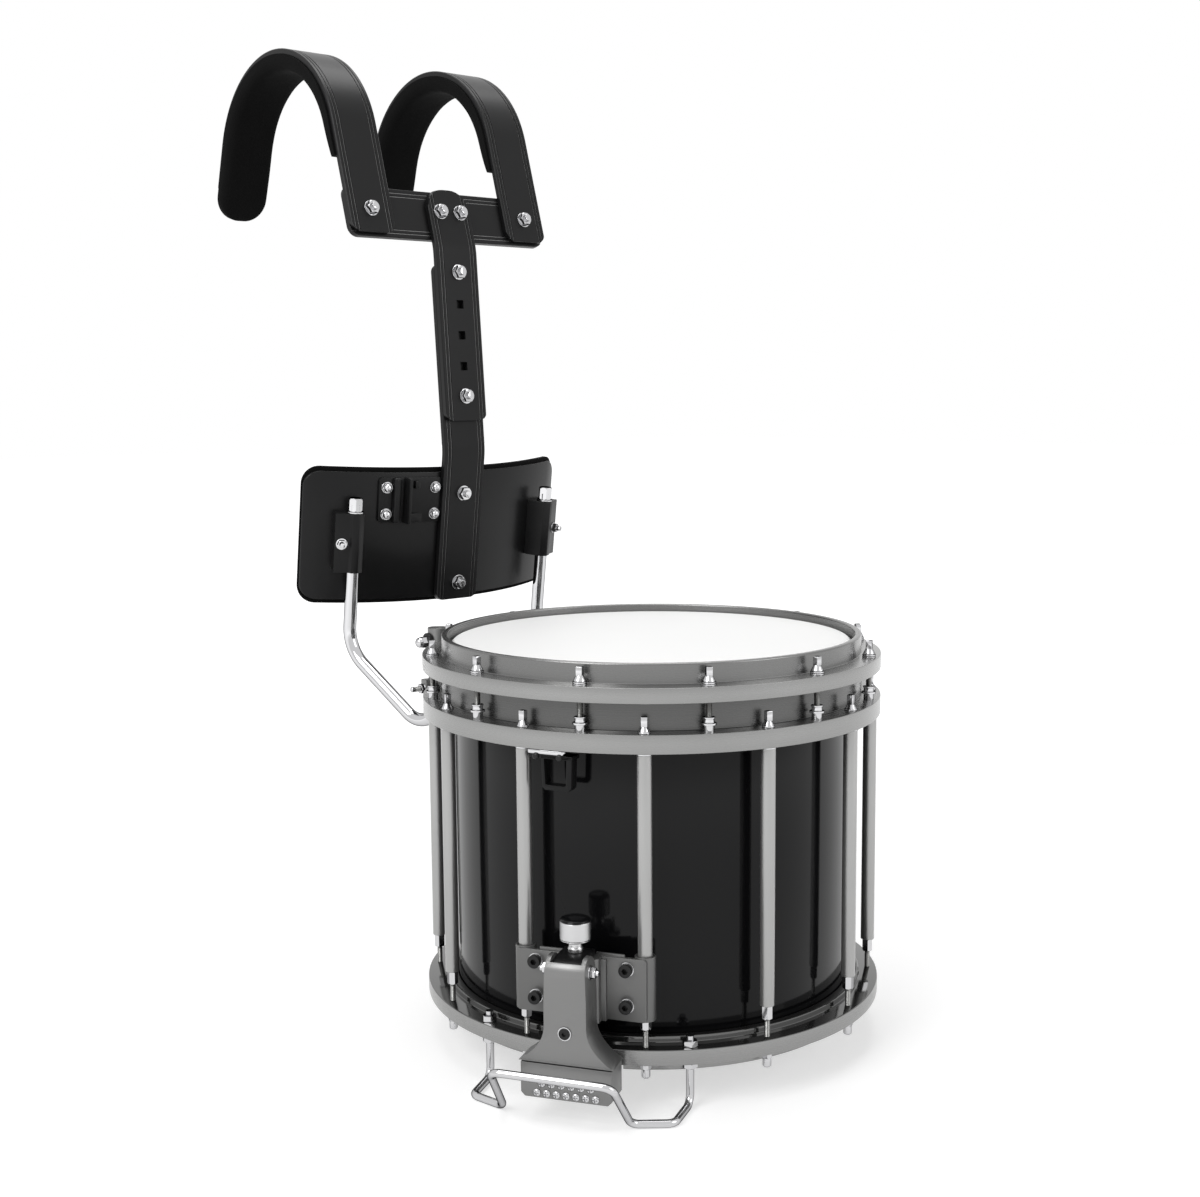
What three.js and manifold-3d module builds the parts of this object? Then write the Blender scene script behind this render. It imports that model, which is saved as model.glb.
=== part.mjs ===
// A marching snare drum hung on its shoulder carrier, in millimetres.
// +Z is up and the player stands on the +Y side. Heights are written from the top face of the bottom
// hoop, and the whole model is lowered at the end so that the batter head's top face is at the origin.
import * as THREE from 'three';
import { mergeVertices } from 'three/addons/utils/BufferGeometryUtils.js';
import Module from 'manifold-3d';

const wasm = await Module();
wasm.setup();

// Fits shared by all pieces
const gap = 0.3;
const overrun = 2;
const weld = 0.001;

// Facets of round pieces
const ringSides = 40;
const clampSides = 12;
const rodSides = 8;
const boreSides = 6;
const hexSides = 6;
const earSteps = 12;
const noseSteps = 7;
const cornerSteps = 4;
const bendStep = 20;
const wireStep = 30;
const barStep = 6;
const archStep = 12;

// Drum shell, measured from its outside
const shell = { radius: 177, wall: 6, height: 278.3, below: 16.6, bevel: 4, land: 1.5 };
const shellTop = shell.height - shell.below;
const shellLow = -shell.below;
const skirtSlack = 0.4;

// Tension rods stand on one circle round the shell, high-tension bolts half a step from the tubes
const lug = { count: 12, reach: 19, rod: 2.5, margin: 8 };
const lugCircle = shell.radius + lug.reach;
const rimRadius = lugCircle + lug.margin;
const lugStep = 360 / lug.count;
const halfStepShare = 0.5;

// Cast edge ring that carries the top hoop's bolts and the batter head's bearing edge
const edgeRing = {
  thick: 15.7, rise: 21.7, neckReach: 10, neckTop: 17.5, lipReach: 1.2, insideStep: 0.5,
  crown: 40.6, bevel: 3.1, bevelRun: 2.4, land: 1.6,
};
const shoulder = shellTop + gap;
const ringLow = shoulder - edgeRing.rise;
const ringTop = ringLow + edgeRing.thick;
const crownTop = shoulder + edgeRing.crown;
const lipRadius = shell.radius + edgeRing.lipReach;
const neckRadius = shell.radius + edgeRing.neckReach;
const sleeve = { radius: 4.8, height: 12.4, depth: 10 };

// Heads: film, collar and flesh hoop
const film = { thick: 0.4, wall: 0.6, slack: 0.4, hoopLift: 2, hoopHeight: 9.5, hoopWall: 4.8 };
const collarInside = lipRadius + film.slack;
const collarOutside = collarInside + film.wall;
const filmLow = crownTop + gap;
const headTop = filmLow + film.thick;
const fleshOutside = collarOutside + film.hoopWall;
const fleshLow = shoulder + edgeRing.neckTop + film.hoopLift;
const fleshTop = fleshLow + film.hoopHeight;
const snareCollarInside = shell.radius + skirtSlack;
const snareCollarOutside = snareCollarInside + film.wall;
const snareFilmTop = shellLow - gap;
const snareFilmLow = snareFilmTop - film.thick;

// Hoops: a thick bolted flange with a raised bead round the head
const hoop = {
  thick: 13, skirtSlack: 0.9, skirtWall: 2.3, seatFall: 0.8, seatDrop: 1.6, beadInset: 2.5,
  beadWall: 5, beadRound: 1, beadRise: 16.6, topSeat: 0.6,
};
const skirtInside = fleshOutside + hoop.skirtSlack;
const beadInside = fleshOutside - hoop.beadInset;
const beadOutside = beadInside + hoop.beadWall;
const hoopSeat = fleshTop + hoop.topSeat;
const hoopTop = hoopSeat + hoop.seatDrop;
const hoopLow = hoopTop - hoop.thick;
const beadTop = hoopTop + hoop.beadRise;
const bottomHoop = { collar: 5, seat: 6, bead: 10.8 };
const snareFleshLow = -bottomHoop.seat + gap;
const gate = { half: 30, roof: 16.5, inset: 5, reach: 3.5 };

// Bolts of the top hoop: square head, flared foot, two washers and a threaded shank
const bolt = {
  head: 5, headHeight: 7, foot: 4.8, neck: 2.9, footHeight: 4.6, washer: 5.8, washerThick: 1.2,
  washerGap: 0.5,
};
// Long tension rods in grey tubes between the edge ring and the bottom hoop
const column = {
  tube: 6, tubeLow: 26, nut: 4.7, nutHeight: 11, washer: 5.3, head: 5.2, headHeight: 7.9,
  foot: 4.75, footEdge: 1, neck: 2.9, footHeight: 4, lowNut: 4.2, lowNutHeight: 4.6, tip: 12.8,
};

// Snare strainer, drawn in its own frame: u along the shell, v outward, z up
const strainerAngle = -60;
const clamp = { low: 23, high: 76, wall: 2.2 };
const wing = { inner: 6.6, thick: 4.1 };
const channel = { half: 18, depth: 11.7, edge: 3 };
const tubeU = lugCircle * Math.sin(THREE.MathUtils.degToRad(lugStep * halfStepShare));
const tubeV = lugCircle * Math.cos(THREE.MathUtils.degToRad(lugStep * halfStepShare));
const wingBack = tubeV + wing.inner;
const wingFront = wingBack + wing.thick;
const channelFront = wingFront + channel.depth;

// Throw lever on its pivot in front of the channel
const lever = {
  out: 15.3, pivotDown: 5, ear: 12.5, top: 12.5, topHalf: 16.4, midHalf: 17.5, midDown: 21,
  flareDown: 41, lowDown: 72.4, lowHalf: 39.2, front: 13, wall: 3.5, back: 14, cheekSlack: 0.5,
  pin: 3,
};
const pivotV = channelFront + lever.out;
const pivotZ = clamp.high - lever.pivotDown;
const leverFront = pivotV + lever.front;
const leverInside = leverFront - lever.wall;
const cheekInside = lever.topHalf - lever.wall;
const flareShares = [[0, 0], [0.26, 0.06], [0.5, 0.2], [0.72, 0.42], [0.88, 0.68], [1, 1]];

// Head block between the lever's cheeks, with the adjusting knob on top
const block = { nose: 9.2, rise: 10.7, back: 11.7, bevel: 1.5, flat: 8, noseStart: 75 };
const knob = {
  back: 14.5, neck: 6.35, neckHeight: 7.2, grip: 12.35, gripHeight: 21, bevel: 1.2, dish: 2,
  dishInset: 2.4, stem: 3, stemDepth: 4,
};
const knobSides = 16;

// Snare carriages below the lever and on the butt side
const box = {
  half: 38, top: 3, low: 31.5, depth: 26, stand: 1.2, bevel: 3.5, shelf: 9, postHalf: 8,
  postDepth: 9, postTop: 52, buttPostHalf: 12, buttPostTop: 66,
};
const boxBack = channelFront + box.stand;
const strands = {
  count: 12, pitch: 4, radius: 0.75, slack: 0.35, bar: 7, barHalf: 24, barUp: 1.4, barDown: 3,
};
const strandSides = 6;
const strandZ = snareFilmLow - strands.slack - strands.radius;

// Wire guards under the drum, which are also its feet
const guard = {
  angle: -61, wire: 3.25, mountHalf: 87.2, topUp: 9, rearHalf: 86, rearOut: 39.5, frontHalf: 54,
  frontOut: 51.5, barHalf: 50.6, barOut: 87.2, barDown: 5, floor: 51.6, bend: 9, nut: 6.2,
  nutHeight: 5, lowNutHeight: 4.3,
};
const guardSides = 7;
const mountOut = Math.sqrt(lugCircle ** 2 - guard.mountHalf ** 2);
const guardOut = mountOut + guard.rearOut;

// J-shaped rods that hold the carrier, hooked up into tubes on the edge ring
const rod = {
  radius: 6.35, half: 119.6, inset: 7.3, kneeUp: 32.3, knee: 40, elbowDown: 55, elbow: 24,
  endDown: 8, capHalf: 7, capHeight: 13, capRound: 1.5, flange: 8.3, flangeThick: 1.5,
};
const rodBendSides = 8;
const receiver = {
  angle: 155.26, stand: 3.95, wall: 3.15, height: 61.4, foot: 16, turn: 30, pin: 2.6, pinUp: 52,
  disc: 7.2, discThick: 3, dome: 4.6, domeRound: 1.6, domeOut: 9, lowPinUp: 4.5, lowPinOut: 20.5,
  lowNut: 4.4, lowNutThick: 3.2,
};
const receiverRadius = rod.radius + receiver.wall;
const receiverOut = rimRadius + receiver.stand + receiverRadius;
const receiverLow = ringLow - gap;

// Carrier: belly plate, blocks and bars, drawn in a frame that leans toward the drum
const lean = 7.6;
const plate = {
  out: 81.1, rise: 126.5, radius: 314, thick: 3, half: 157, height: 132, corner: 15,
};
const plateUp = ringTop + plate.rise;
const plateSteps = 16;

// Clamp blocks of the J rods: a rib round the rod and a lug beside it, turned to follow the plate
const rodBlock = {
  turn: 26, side: 2.65, wall: 2.05, sideFront: 2.8, ribIn: 3.5, ribOut: 3, lugIn: 5, lugOut: 19.5,
  lugFront: 6, rear: 22, low: 34.8, high: 23.7,
};
const blockBolt = {
  out: 12.6, down: 6, washer: 5.65, washerThick: 1.2, nut: 4.6, nutThick: 4.3, stud: 2.5, studOut: 4,
};

// Flat bars that climb from the plate, each row of them hung on the one below it
const strap = { width: 50, thick: 5, groove: 0.7, grooveHalf: 0.6, grooveIn: 4.3, groovePitch: 3.7 };
const bar = { width: 50, thick: 5.5, corner: 8 };
const upperBar = { up: 111.5, straight: 170, rake: 55, bend: 60, lean: 16, corner: 12 };
const upperLow = plateUp + upperBar.up;
const upperBendZ = upperLow + upperBar.straight;
const upperTop = upperBendZ + upperBar.rake;
const lowerBar = { low: 69.5, bendUp: 82, bend: 60, lean: 4.17, endDown: 16 };
const lowerTop = upperBendZ - lowerBar.endDown;
const sockets = { size: 8.4, pitch: 30.5, up: 84.7 };
const crossbar = { half: 124, height: 50, up: 31, corner: 10 };
const crossZ = upperBendZ + crossbar.up;
const harness = { half: 93.8, radius: 110, rise: 57, footDown: 20, heelUp: 38, corner: 9 };
const footZ = crossZ - harness.footDown;
const heelZ = crossZ + harness.heelUp;

// Soft parts
const crownPower = 6;
const bellyPad = { thick: 12.5, over: 3, corner: 18, rim: 4, acrossSteps: 16, alongSteps: 8 };
const shoulderPad = {
  thick: 16, width: 54, frontUp: 53, heelUp: 12, corner: 24, rim: 5, acrossSteps: 6, alongSteps: 19,
};

// Small brackets
const loop = {
  inset: 1, depth: 14, left: 6, right: 22.2, drop: 34.3, thinWall: 3.5, wall: 7, floor: 6,
  shelfIn: 2, tubeSlack: 0.98, stripRight: 15.1, stripThick: 3.2,
};
const loopShare = 0.25;
const loopAngle = strainerAngle - lugStep * loopShare;
const loopTubeU = lugCircle * Math.sin(THREE.MathUtils.degToRad(lugStep * loopShare));
const stripLeft = loopTubeU - column.tube - loop.tubeSlack;
const loopFront = rimRadius - loop.inset;
const loopBack = loopFront - loop.depth;
const clip = { left: 95, right: 28, low: 10, high: 57, thick: 3, rib: 3, ribUp: 9, ramp: 13, slot: 5 };

// Finishes
function finish(color, roughness, metalness) {
  return new THREE.MeshStandardMaterial({ color, roughness, metalness });
}
const glossBlack = finish(0x0c0c0d, 0.18, 0);
const castGrey = finish(0x9d9d9b, 0.45, 0.3);
const tubeGrey = finish(0xb9b9b8, 0.4, 0.3);
const chrome = finish(0xdedfe0, 0.12, 1);
const headWhite = finish(0xf1f1ee, 0.6, 0);
const satinBlack = finish(0x1c1c1d, 0.5, 0.2);
const foamBlack = finish(0x161616, 0.9, 0);

const rad = THREE.MathUtils.degToRad;

// Solids and plain shapes

function toSolid(geometry) {
  const bare = new THREE.BufferGeometry();
  bare.setAttribute('position', geometry.getAttribute('position'));
  bare.setIndex(geometry.getIndex());
  const merged = mergeVertices(bare, weld);
  const at = merged.getAttribute('position').array;
  const index = merged.getIndex().array;
  const corner = (i) => new THREE.Vector3(at[3 * i], at[3 * i + 1], at[3 * i + 2]);
  const faces = [];
  let volume = 0;
  for (let i = 0; i < index.length; i += 3) {
    const [a, b, c] = [index[i], index[i + 1], index[i + 2]];
    if (a !== b && b !== c && c !== a) {
      faces.push([a, b, c]);
      volume += corner(a).dot(corner(b).cross(corner(c)));
    }
  }
  const outward = volume > 0 ? faces : faces.map(([a, b, c]) => [a, c, b]);
  return new wasm.Manifold(new wasm.Mesh({
    numProp: 3,
    vertProperties: Float32Array.from(at),
    triVerts: Uint32Array.from(outward.flat()),
  }));
}

function toShape(solid) {
  const mesh = solid.getMesh();
  const shape = new THREE.BufferGeometry();
  shape.setAttribute('position', new THREE.BufferAttribute(mesh.vertProperties, 3));
  shape.setIndex(new THREE.BufferAttribute(mesh.triVerts, 1));
  return shape;
}

const join = (...shapes) => toShape(shapes.map(toSolid).reduce((a, b) => a.add(b)));
const cut = (body, ...tools) => toShape(tools.map(toSolid).reduce((a, b) => a.subtract(b), toSolid(body)));
const common = (...shapes) => toShape(shapes.map(toSolid).reduce((a, b) => a.intersect(b)));
const moved = (shape, x, y, z) => shape.clone().translate(x, y, z);
const around = (shape, degrees) => shape.clone().rotateZ(rad(degrees));
const tilted = (shape, degrees) => shape.clone().rotateX(rad(degrees));
const mirrored = (shape) => toShape(toSolid(shape.clone().scale(-1, 1, 1)));

// A revolved shape round Z from an outline of [radius, height] points that closes on itself
function revolved(outline, sides = ringSides, turn = 0) {
  const points = [...outline, outline[0]].map(([r, z]) => new THREE.Vector2(r, z));
  return new THREE.LatheGeometry(points, sides, turn).rotateX(rad(90));
}

// A revolved solid whose outline starts and ends on the axis
function turned(outline, sides = rodSides, turn = 0) {
  const low = outline[0][1];
  const high = outline[outline.length - 1][1];
  const points = [[0, low], ...outline, [0, high]].map(([r, z]) => new THREE.Vector2(r, z));
  return new THREE.LatheGeometry(points, sides, turn).rotateX(rad(90));
}

const cylinder = (radius, low, high, sides = rodSides) => turned([[radius, low], [radius, high]], sides);

// A cutting cylinder whose flats, not its corners, keep the given radius
function bore(radius, low, high, sides = boreSides) {
  return cylinder(radius / Math.cos(Math.PI / sides), low, high, sides);
}

function brick(x0, x1, y0, y1, z0, z1) {
  const shape = new THREE.BoxGeometry(x1 - x0, y1 - y0, z1 - z0);
  return shape.translate((x0 + x1) / 2, (y0 + y1) / 2, (z0 + z1) / 2);
}

// An outline in the XY plane raised from one height to another
function raised(outline, low, high) {
  const face = new THREE.Shape(outline.map(([x, y]) => new THREE.Vector2(x, y)));
  return new THREE.ExtrudeGeometry(face, { depth: high - low, bevelEnabled: false }).translate(0, 0, low);
}

// An outline of [x, z] points carried from the near to the far side along Y
const carried = (outline, near, far) => raised(outline, -far, -near).rotateX(rad(90));

// An outline of [y, z] points carried along X
function spanned(outline, left, right) {
  const shape = raised(outline, left, right);
  const swap = new THREE.Matrix4().makeBasis(
    new THREE.Vector3(0, 1, 0), new THREE.Vector3(0, 0, 1), new THREE.Vector3(1, 0, 0));
  return shape.applyMatrix4(swap);
}

// A rectangle with cut corners, centred on the origin
function bevelled(halfX, halfY, cutX, cutY = cutX) {
  return [
    [-halfX + cutX, -halfY], [halfX - cutX, -halfY], [halfX, -halfY + cutY], [halfX, halfY - cutY],
    [halfX - cutX, halfY], [-halfX + cutX, halfY], [-halfX, halfY - cutY], [-halfX, -halfY + cutY],
  ];
}

// A rectangle with round corners, centred on the origin
function rounded(halfX, halfY, radius, steps = cornerSteps) {
  const quarters = [[1, -1, -90], [1, 1, 0], [-1, 1, 90], [-1, -1, 180]];
  return quarters.flatMap(([sx, sy, start]) => Array.from({ length: steps + 1 }, (_, i) => {
    const angle = rad(start + 90 * i / steps);
    return [
      sx * (halfX - radius) + radius * Math.cos(angle),
      sy * (halfY - radius) + radius * Math.sin(angle),
    ];
  }));
}

function disc(radius, sides) {
  return Array.from({ length: sides }, (_, i) => {
    const angle = 2 * Math.PI * i / sides;
    return [radius * Math.cos(angle), radius * Math.sin(angle)];
  });
}

// A path through listed points, whose steps fall on those points
class ListedPath extends THREE.Curve {
  constructor(points) {
    super();
    this.points = points;
  }

  getUtoTmapping(u) {
    return u;
  }

  getPoint(t) {
    const last = this.points.length - 1;
    return this.points[Math.round(t * last)].clone();
  }

  getTangent(t) {
    const last = this.points.length - 1;
    const i = Math.round(t * last);
    const before = this.points[Math.max(i - 1, 0)];
    const here = this.points[i];
    const after = this.points[Math.min(i + 1, last)];
    const arriving = here.clone().sub(before).normalize();
    const leaving = after.clone().sub(here).normalize();
    return arriving.add(leaving).normalize();
  }
}

// Points along straight runs joined by round bends; a corner is [x, y, z, bend radius]
function bent(corners, step) {
  const at = corners.map(([x, y, z]) => new THREE.Vector3(x, y, z));
  const points = [at[0]];
  for (let i = 1; i < corners.length - 1; i += 1) {
    const radius = corners[i][3];
    const arriving = at[i].clone().sub(at[i - 1]).normalize();
    const leaving = at[i + 1].clone().sub(at[i]).normalize();
    const turn = arriving.angleTo(leaving);
    const setback = radius * Math.tan(turn / 2);
    const start = at[i].clone().addScaledVector(arriving, -setback);
    const inward = leaving.clone().addScaledVector(arriving, -leaving.dot(arriving)).normalize();
    const steps = Math.max(1, Math.round(THREE.MathUtils.radToDeg(turn) / step));
    for (let k = 0; k <= steps; k += 1) {
      const angle = turn * k / steps;
      points.push(start.clone()
        .addScaledVector(arriving, radius * Math.sin(angle))
        .addScaledVector(inward, radius * (1 - Math.cos(angle))));
    }
  }
  points.push(at[at.length - 1]);
  return points;
}

function swept(outline, points) {
  const face = new THREE.Shape(outline.map(([x, y]) => new THREE.Vector2(x, y)));
  return new THREE.ExtrudeGeometry(face, { steps: points.length - 1, extrudePath: new ListedPath(points) });
}

const wire = (corners, radius, sides, step) => swept(disc(radius, sides), bent(corners, step));

// Drum

function makeShell() {
  const inside = shell.radius - shell.wall;
  return revolved([
    [shell.radius, shellTop], [inside, shellTop], [inside, shellLow + shell.bevel],
    [shell.radius - shell.land - shell.land, shellLow], [shell.radius - shell.land, shellLow],
    [shell.radius, shellLow + shell.land],
  ]);
}

// The lug positions, with the bolts on whole steps and the tubes between them
const boltAngles = Array.from({ length: lug.count }, (_, i) => i * lugStep);
const tubeAngles = boltAngles.map((angle) => angle + lugStep * halfStepShare);
const onCircle = (shape, angle) => around(moved(shape, 0, -lugCircle, 0), angle);

function makeEdgeRing() {
  const skirt = shell.radius + skirtSlack;
  const inside = shell.radius - shell.wall + edgeRing.insideStep;
  const crownOut = lipRadius - edgeRing.bevelRun;
  const ring = revolved([
    [rimRadius, ringLow], [rimRadius, ringTop], [neckRadius, ringTop],
    [neckRadius, shoulder + edgeRing.neckTop], [lipRadius, shoulder + edgeRing.neckTop],
    [lipRadius, crownTop - edgeRing.bevel], [crownOut, crownTop], [crownOut - edgeRing.land, crownTop],
    [inside, crownTop - edgeRing.bevel], [inside, shoulder], [skirt, shoulder], [skirt, ringLow],
  ]);
  const sleeveTop = ringTop + sleeve.height;
  const sleeveShape = cylinder(sleeve.radius, ringTop - overrun, sleeveTop);
  const sleeveBore = bore(lug.rod + gap, sleeveTop - sleeve.depth, sleeveTop + overrun);
  const rodBore = bore(lug.rod + gap, ringLow - overrun, ringTop + overrun);
  const withSleeves = join(ring, ...boltAngles.map((angle) => onCircle(sleeveShape, angle)));
  return cut(
    withSleeves,
    ...boltAngles.map((angle) => onCircle(sleeveBore, angle)),
    ...tubeAngles.map((angle) => onCircle(rodBore, angle)),
  );
}

function makeBatterHead() {
  const crownOut = lipRadius - edgeRing.bevelRun;
  const bevelLow = crownTop - edgeRing.bevel;
  return turned([
    [crownOut, filmLow], [collarInside, bevelLow + gap], [collarInside, fleshLow],
    [fleshOutside, fleshLow], [fleshOutside, fleshTop], [collarOutside, fleshTop],
    [collarOutside, bevelLow + film.wall], [crownOut + film.thick, headTop],
  ], ringSides);
}

function makeSnareHead() {
  const edge = shell.radius - shell.land;
  const fleshHigh = snareFleshLow + film.hoopHeight;
  return turned([
    [edge + gap, snareFilmLow], [snareCollarOutside, shellLow + shell.land - gap],
    [snareCollarOutside, snareFleshLow], [fleshOutside, snareFleshLow], [fleshOutside, fleshHigh],
    [snareCollarInside, fleshHigh], [snareCollarInside, shellLow + shell.land],
    [edge, snareFilmTop],
  ], ringSides);
}

function makeTopHoop() {
  const body = revolved([
    [rimRadius, hoopLow], [rimRadius, hoopTop], [beadOutside, hoopTop],
    [beadOutside, beadTop - hoop.beadRound], [beadOutside - hoop.beadRound, beadTop],
    [beadInside + hoop.beadRound, beadTop], [beadInside, beadTop - hoop.beadRound],
    [beadInside, hoopSeat + hoop.seatFall], [skirtInside, hoopSeat], [skirtInside, hoopLow],
  ]);
  const hole = bore(lug.rod + gap, hoopLow - overrun, hoopTop + overrun);
  return cut(body, ...boltAngles.map((angle) => onCircle(hole, angle)));
}

const guardAngles = [guard.angle, guard.angle + 180];
const gateAngles = [strainerAngle, strainerAngle + 180];

function makeBottomHoop() {
  const seat = -bottomHoop.seat;
  const beadLow = -hoop.thick - bottomHoop.bead;
  const skirtOutside = skirtInside + hoop.skirtWall;
  const body = revolved([
    [rimRadius, 0], [skirtOutside, 0], [skirtOutside, bottomHoop.collar],
    [skirtInside, bottomHoop.collar], [skirtInside, seat], [beadInside, seat - hoop.seatFall],
    [beadInside, beadLow + hoop.beadRound], [beadInside + hoop.beadRound, beadLow],
    [beadOutside - hoop.beadRound, beadLow], [beadOutside, beadLow + hoop.beadRound],
    [beadOutside, -hoop.thick], [rimRadius, -hoop.thick],
  ]);
  const rodHole = bore(lug.rod + gap, -hoop.thick - overrun, overrun);
  const wireHole = bore(guard.wire + gap, -hoop.thick - overrun, overrun);
  const gateCut = brick(
    -gate.half, gate.half, -beadOutside - gate.reach, -beadInside + gate.inset,
    beadLow - overrun, -gate.roof);
  const sideHole = (side) => moved(wireHole, side * guard.mountHalf, -mountOut, 0);
  return cut(
    body,
    ...tubeAngles.map((angle) => onCircle(rodHole, angle)),
    ...guardAngles.flatMap((angle) => [-1, 1].map((side) => around(sideHole(side), angle))),
    ...gateAngles.map((angle) => around(gateCut, angle)),
  );
}

function makeBolt() {
  const low = hoopTop + gap;
  const washersTop = low + bolt.washerThick + bolt.washerThick + bolt.washerGap;
  const footTop = washersTop + bolt.footHeight;
  const tip = ringTop + sleeve.height - sleeve.depth + gap + gap;
  const body = turned([
    [lug.rod, tip], [lug.rod, low], [bolt.washer, low], [bolt.washer, washersTop],
    [bolt.foot, washersTop], [bolt.neck, footTop],
  ]);
  const half = bolt.head / 2;
  return join(body, brick(-half, half, -half, half, footTop - gap, footTop + bolt.headHeight));
}

function makeColumn() {
  const low = ringTop + gap;
  const tubeTop = ringLow - gap;
  const hoopUnder = -hoop.thick - gap;
  const nutLow = column.tubeLow - column.nutHeight;
  const lowNutLow = hoopUnder - column.lowNutHeight;
  const footLow = low + column.footEdge;
  const headLow = footLow + column.footHeight;
  const body = turned([
    [lug.rod, -hoop.thick - column.tip], [lug.rod, lowNutLow], [column.lowNut, lowNutLow],
    [column.washer, hoopUnder],
    [lug.rod, hoopUnder], [lug.rod, nutLow], [column.nut, nutLow], [column.nut, column.tubeLow],
    [column.tube, column.tubeLow], [column.tube, tubeTop], [lug.rod, tubeTop], [lug.rod, low],
    [column.foot, low], [column.foot, footLow], [column.neck, headLow],
  ]);
  const half = column.head / 2;
  return join(body, brick(-half, half, -half, half, headLow - gap, headLow + column.headHeight));
}

// Strainer and butt, drawn with v pointing along -Y and then swung round the drum

function makeStrainerPlate() {
  const outer = column.tube + gap + clamp.wall;
  const atTubes = (shape) => [-1, 1].map((side) => moved(shape, side * tubeU, -tubeV, 0));
  const rings = atTubes(cylinder(outer, clamp.low, clamp.high, clampSides));
  const bores = atTubes(bore(column.tube + gap, clamp.low - overrun, clamp.high + overrun));
  const slab = brick(-tubeU, tubeU, -wingFront, -wingBack, clamp.low, clamp.high);
  const inner = channel.half - channel.edge;
  const ridge = raised([
    [-channel.half, -wingBack], [channel.half, -wingBack], [channel.half, -channelFront + channel.edge],
    [inner, -channelFront], [-inner, -channelFront], [-channel.half, -channelFront + channel.edge],
  ], clamp.low - gap, clamp.high);
  return cut(join(slab, ridge, ...rings), ...bores);
}

// Half of the lever's front outline from the top down, as [half width, height] points
function leverSide(inset) {
  const top = pivotZ + lever.top;
  const flareTop = pivotZ - lever.flareDown;
  const low = pivotZ - lever.lowDown;
  const flare = flareShares.map(([down, out]) => [
    lever.midHalf + (lever.lowHalf - lever.midHalf) * out - inset,
    flareTop + (low - flareTop) * down,
  ]);
  return [[lever.topHalf - inset, top], [lever.midHalf - inset, pivotZ - lever.midDown], ...flare];
}

function leverOutline(inset, below) {
  const right = leverSide(inset);
  const [half, low] = right[right.length - 1];
  const foot = below ? [[half, low - below]] : [];
  const top = below ? [[right[0][0], right[0][1] + below]] : [];
  const side = [...top, ...right, ...foot];
  return [...side, ...side.map(([x, z]) => [-x, z]).reverse()];
}

function makeLever() {
  const low = pivotZ - lever.lowDown;
  const backV = pivotV - lever.back;
  const ear = Array.from({ length: earSteps + 1 }, (_, i) => {
    const angle = rad(180 * i / earSteps);
    return [-(pivotV + lever.ear * Math.cos(angle)), pivotZ + lever.ear * Math.sin(angle)];
  });
  const profile = spanned([
    [-leverFront, low], [-leverFront, pivotZ], ...ear,
    [-backV, pivotZ - lever.ear], [-backV, low],
  ], -lever.lowHalf, lever.lowHalf);
  const front = carried(leverOutline(0, 0), -leverFront, -backV + lever.wall);
  const hollow = carried(leverOutline(lever.wall, overrun), -leverInside, -backV + lever.wall + overrun);
  const slot = brick(
    -cheekInside, cheekInside, -leverInside, 0, pivotZ - lever.ear, pivotZ + lever.ear + overrun);
  const pin = cylinder(lever.pin, -lever.topHalf + gap, lever.topHalf - gap).rotateY(rad(90));
  return join(cut(common(front, profile), hollow, slot), moved(pin, 0, -pivotV, pivotZ));
}

function makeHeadBlock() {
  const half = cheekInside - lever.cheekSlack;
  const back = channelFront - block.back;
  const top = pivotZ + block.rise;
  const foot = clamp.high + gap;
  const neckV = channelFront + gap;
  const nose = Array.from({ length: noseSteps + 1 }, (_, i) => {
    const angle = rad(block.noseStart - (block.noseStart + 90) * i / noseSteps);
    return [-(pivotV + block.nose * Math.cos(angle)), pivotZ + block.nose * Math.sin(angle)];
  });
  const body = spanned([
    [-back, foot], [-back, top - block.bevel], [-back - block.bevel, top],
    [-pivotV + block.flat, top], ...nose, [-neckV, pivotZ - block.nose], [-neckV, foot],
  ], -half, half);
  const pinBore = bore(lever.pin + gap, -half - overrun, half + overrun).rotateY(rad(90));
  const stemBore = bore(knob.stem + gap, top - knob.stemDepth - gap, top + overrun);
  return cut(body, moved(pinBore, 0, -pivotV, pivotZ), moved(stemBore, 0, -pivotV + knob.back, 0));
}

function makeKnob() {
  const low = pivotZ + block.rise + gap;
  const gripLow = low + knob.neckHeight;
  const top = gripLow + knob.gripHeight;
  const dishRadius = knob.grip - knob.dishInset;
  return moved(turned([
    [knob.stem, low - knob.stemDepth], [knob.stem, low], [knob.neck, low], [knob.neck, gripLow],
    [knob.grip - knob.bevel, gripLow], [knob.grip, gripLow + knob.bevel], [knob.grip, top - knob.bevel],
    [knob.grip - knob.bevel, top], [dishRadius, top], [dishRadius - knob.bevel, top - knob.dish],
  ], knobSides), 0, -pivotV + knob.back, 0);
}

// A snare carriage: a box with cut lower corners and a post that slides on the channel
function makeBox(postHalf, postTop) {
  const front = boxBack + box.depth;
  const outline = [
    [-box.half, -box.top], [-box.half, -box.low + box.bevel], [-box.half + box.bevel, -box.low],
    [box.half - box.bevel, -box.low], [box.half, -box.low + box.bevel], [box.half, -box.top],
  ];
  const body = carried(outline, -front, -boxBack);
  const back = channelFront + gap;
  const shelfLow = -box.top - box.shelf;
  const post = brick(-postHalf, postHalf, -back - box.postDepth, -back, shelfLow, postTop);
  const shelf = brick(-postHalf, postHalf, -boxBack - overrun, -back, shelfLow, -box.top);
  return join(body, shelf, post);
}

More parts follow.
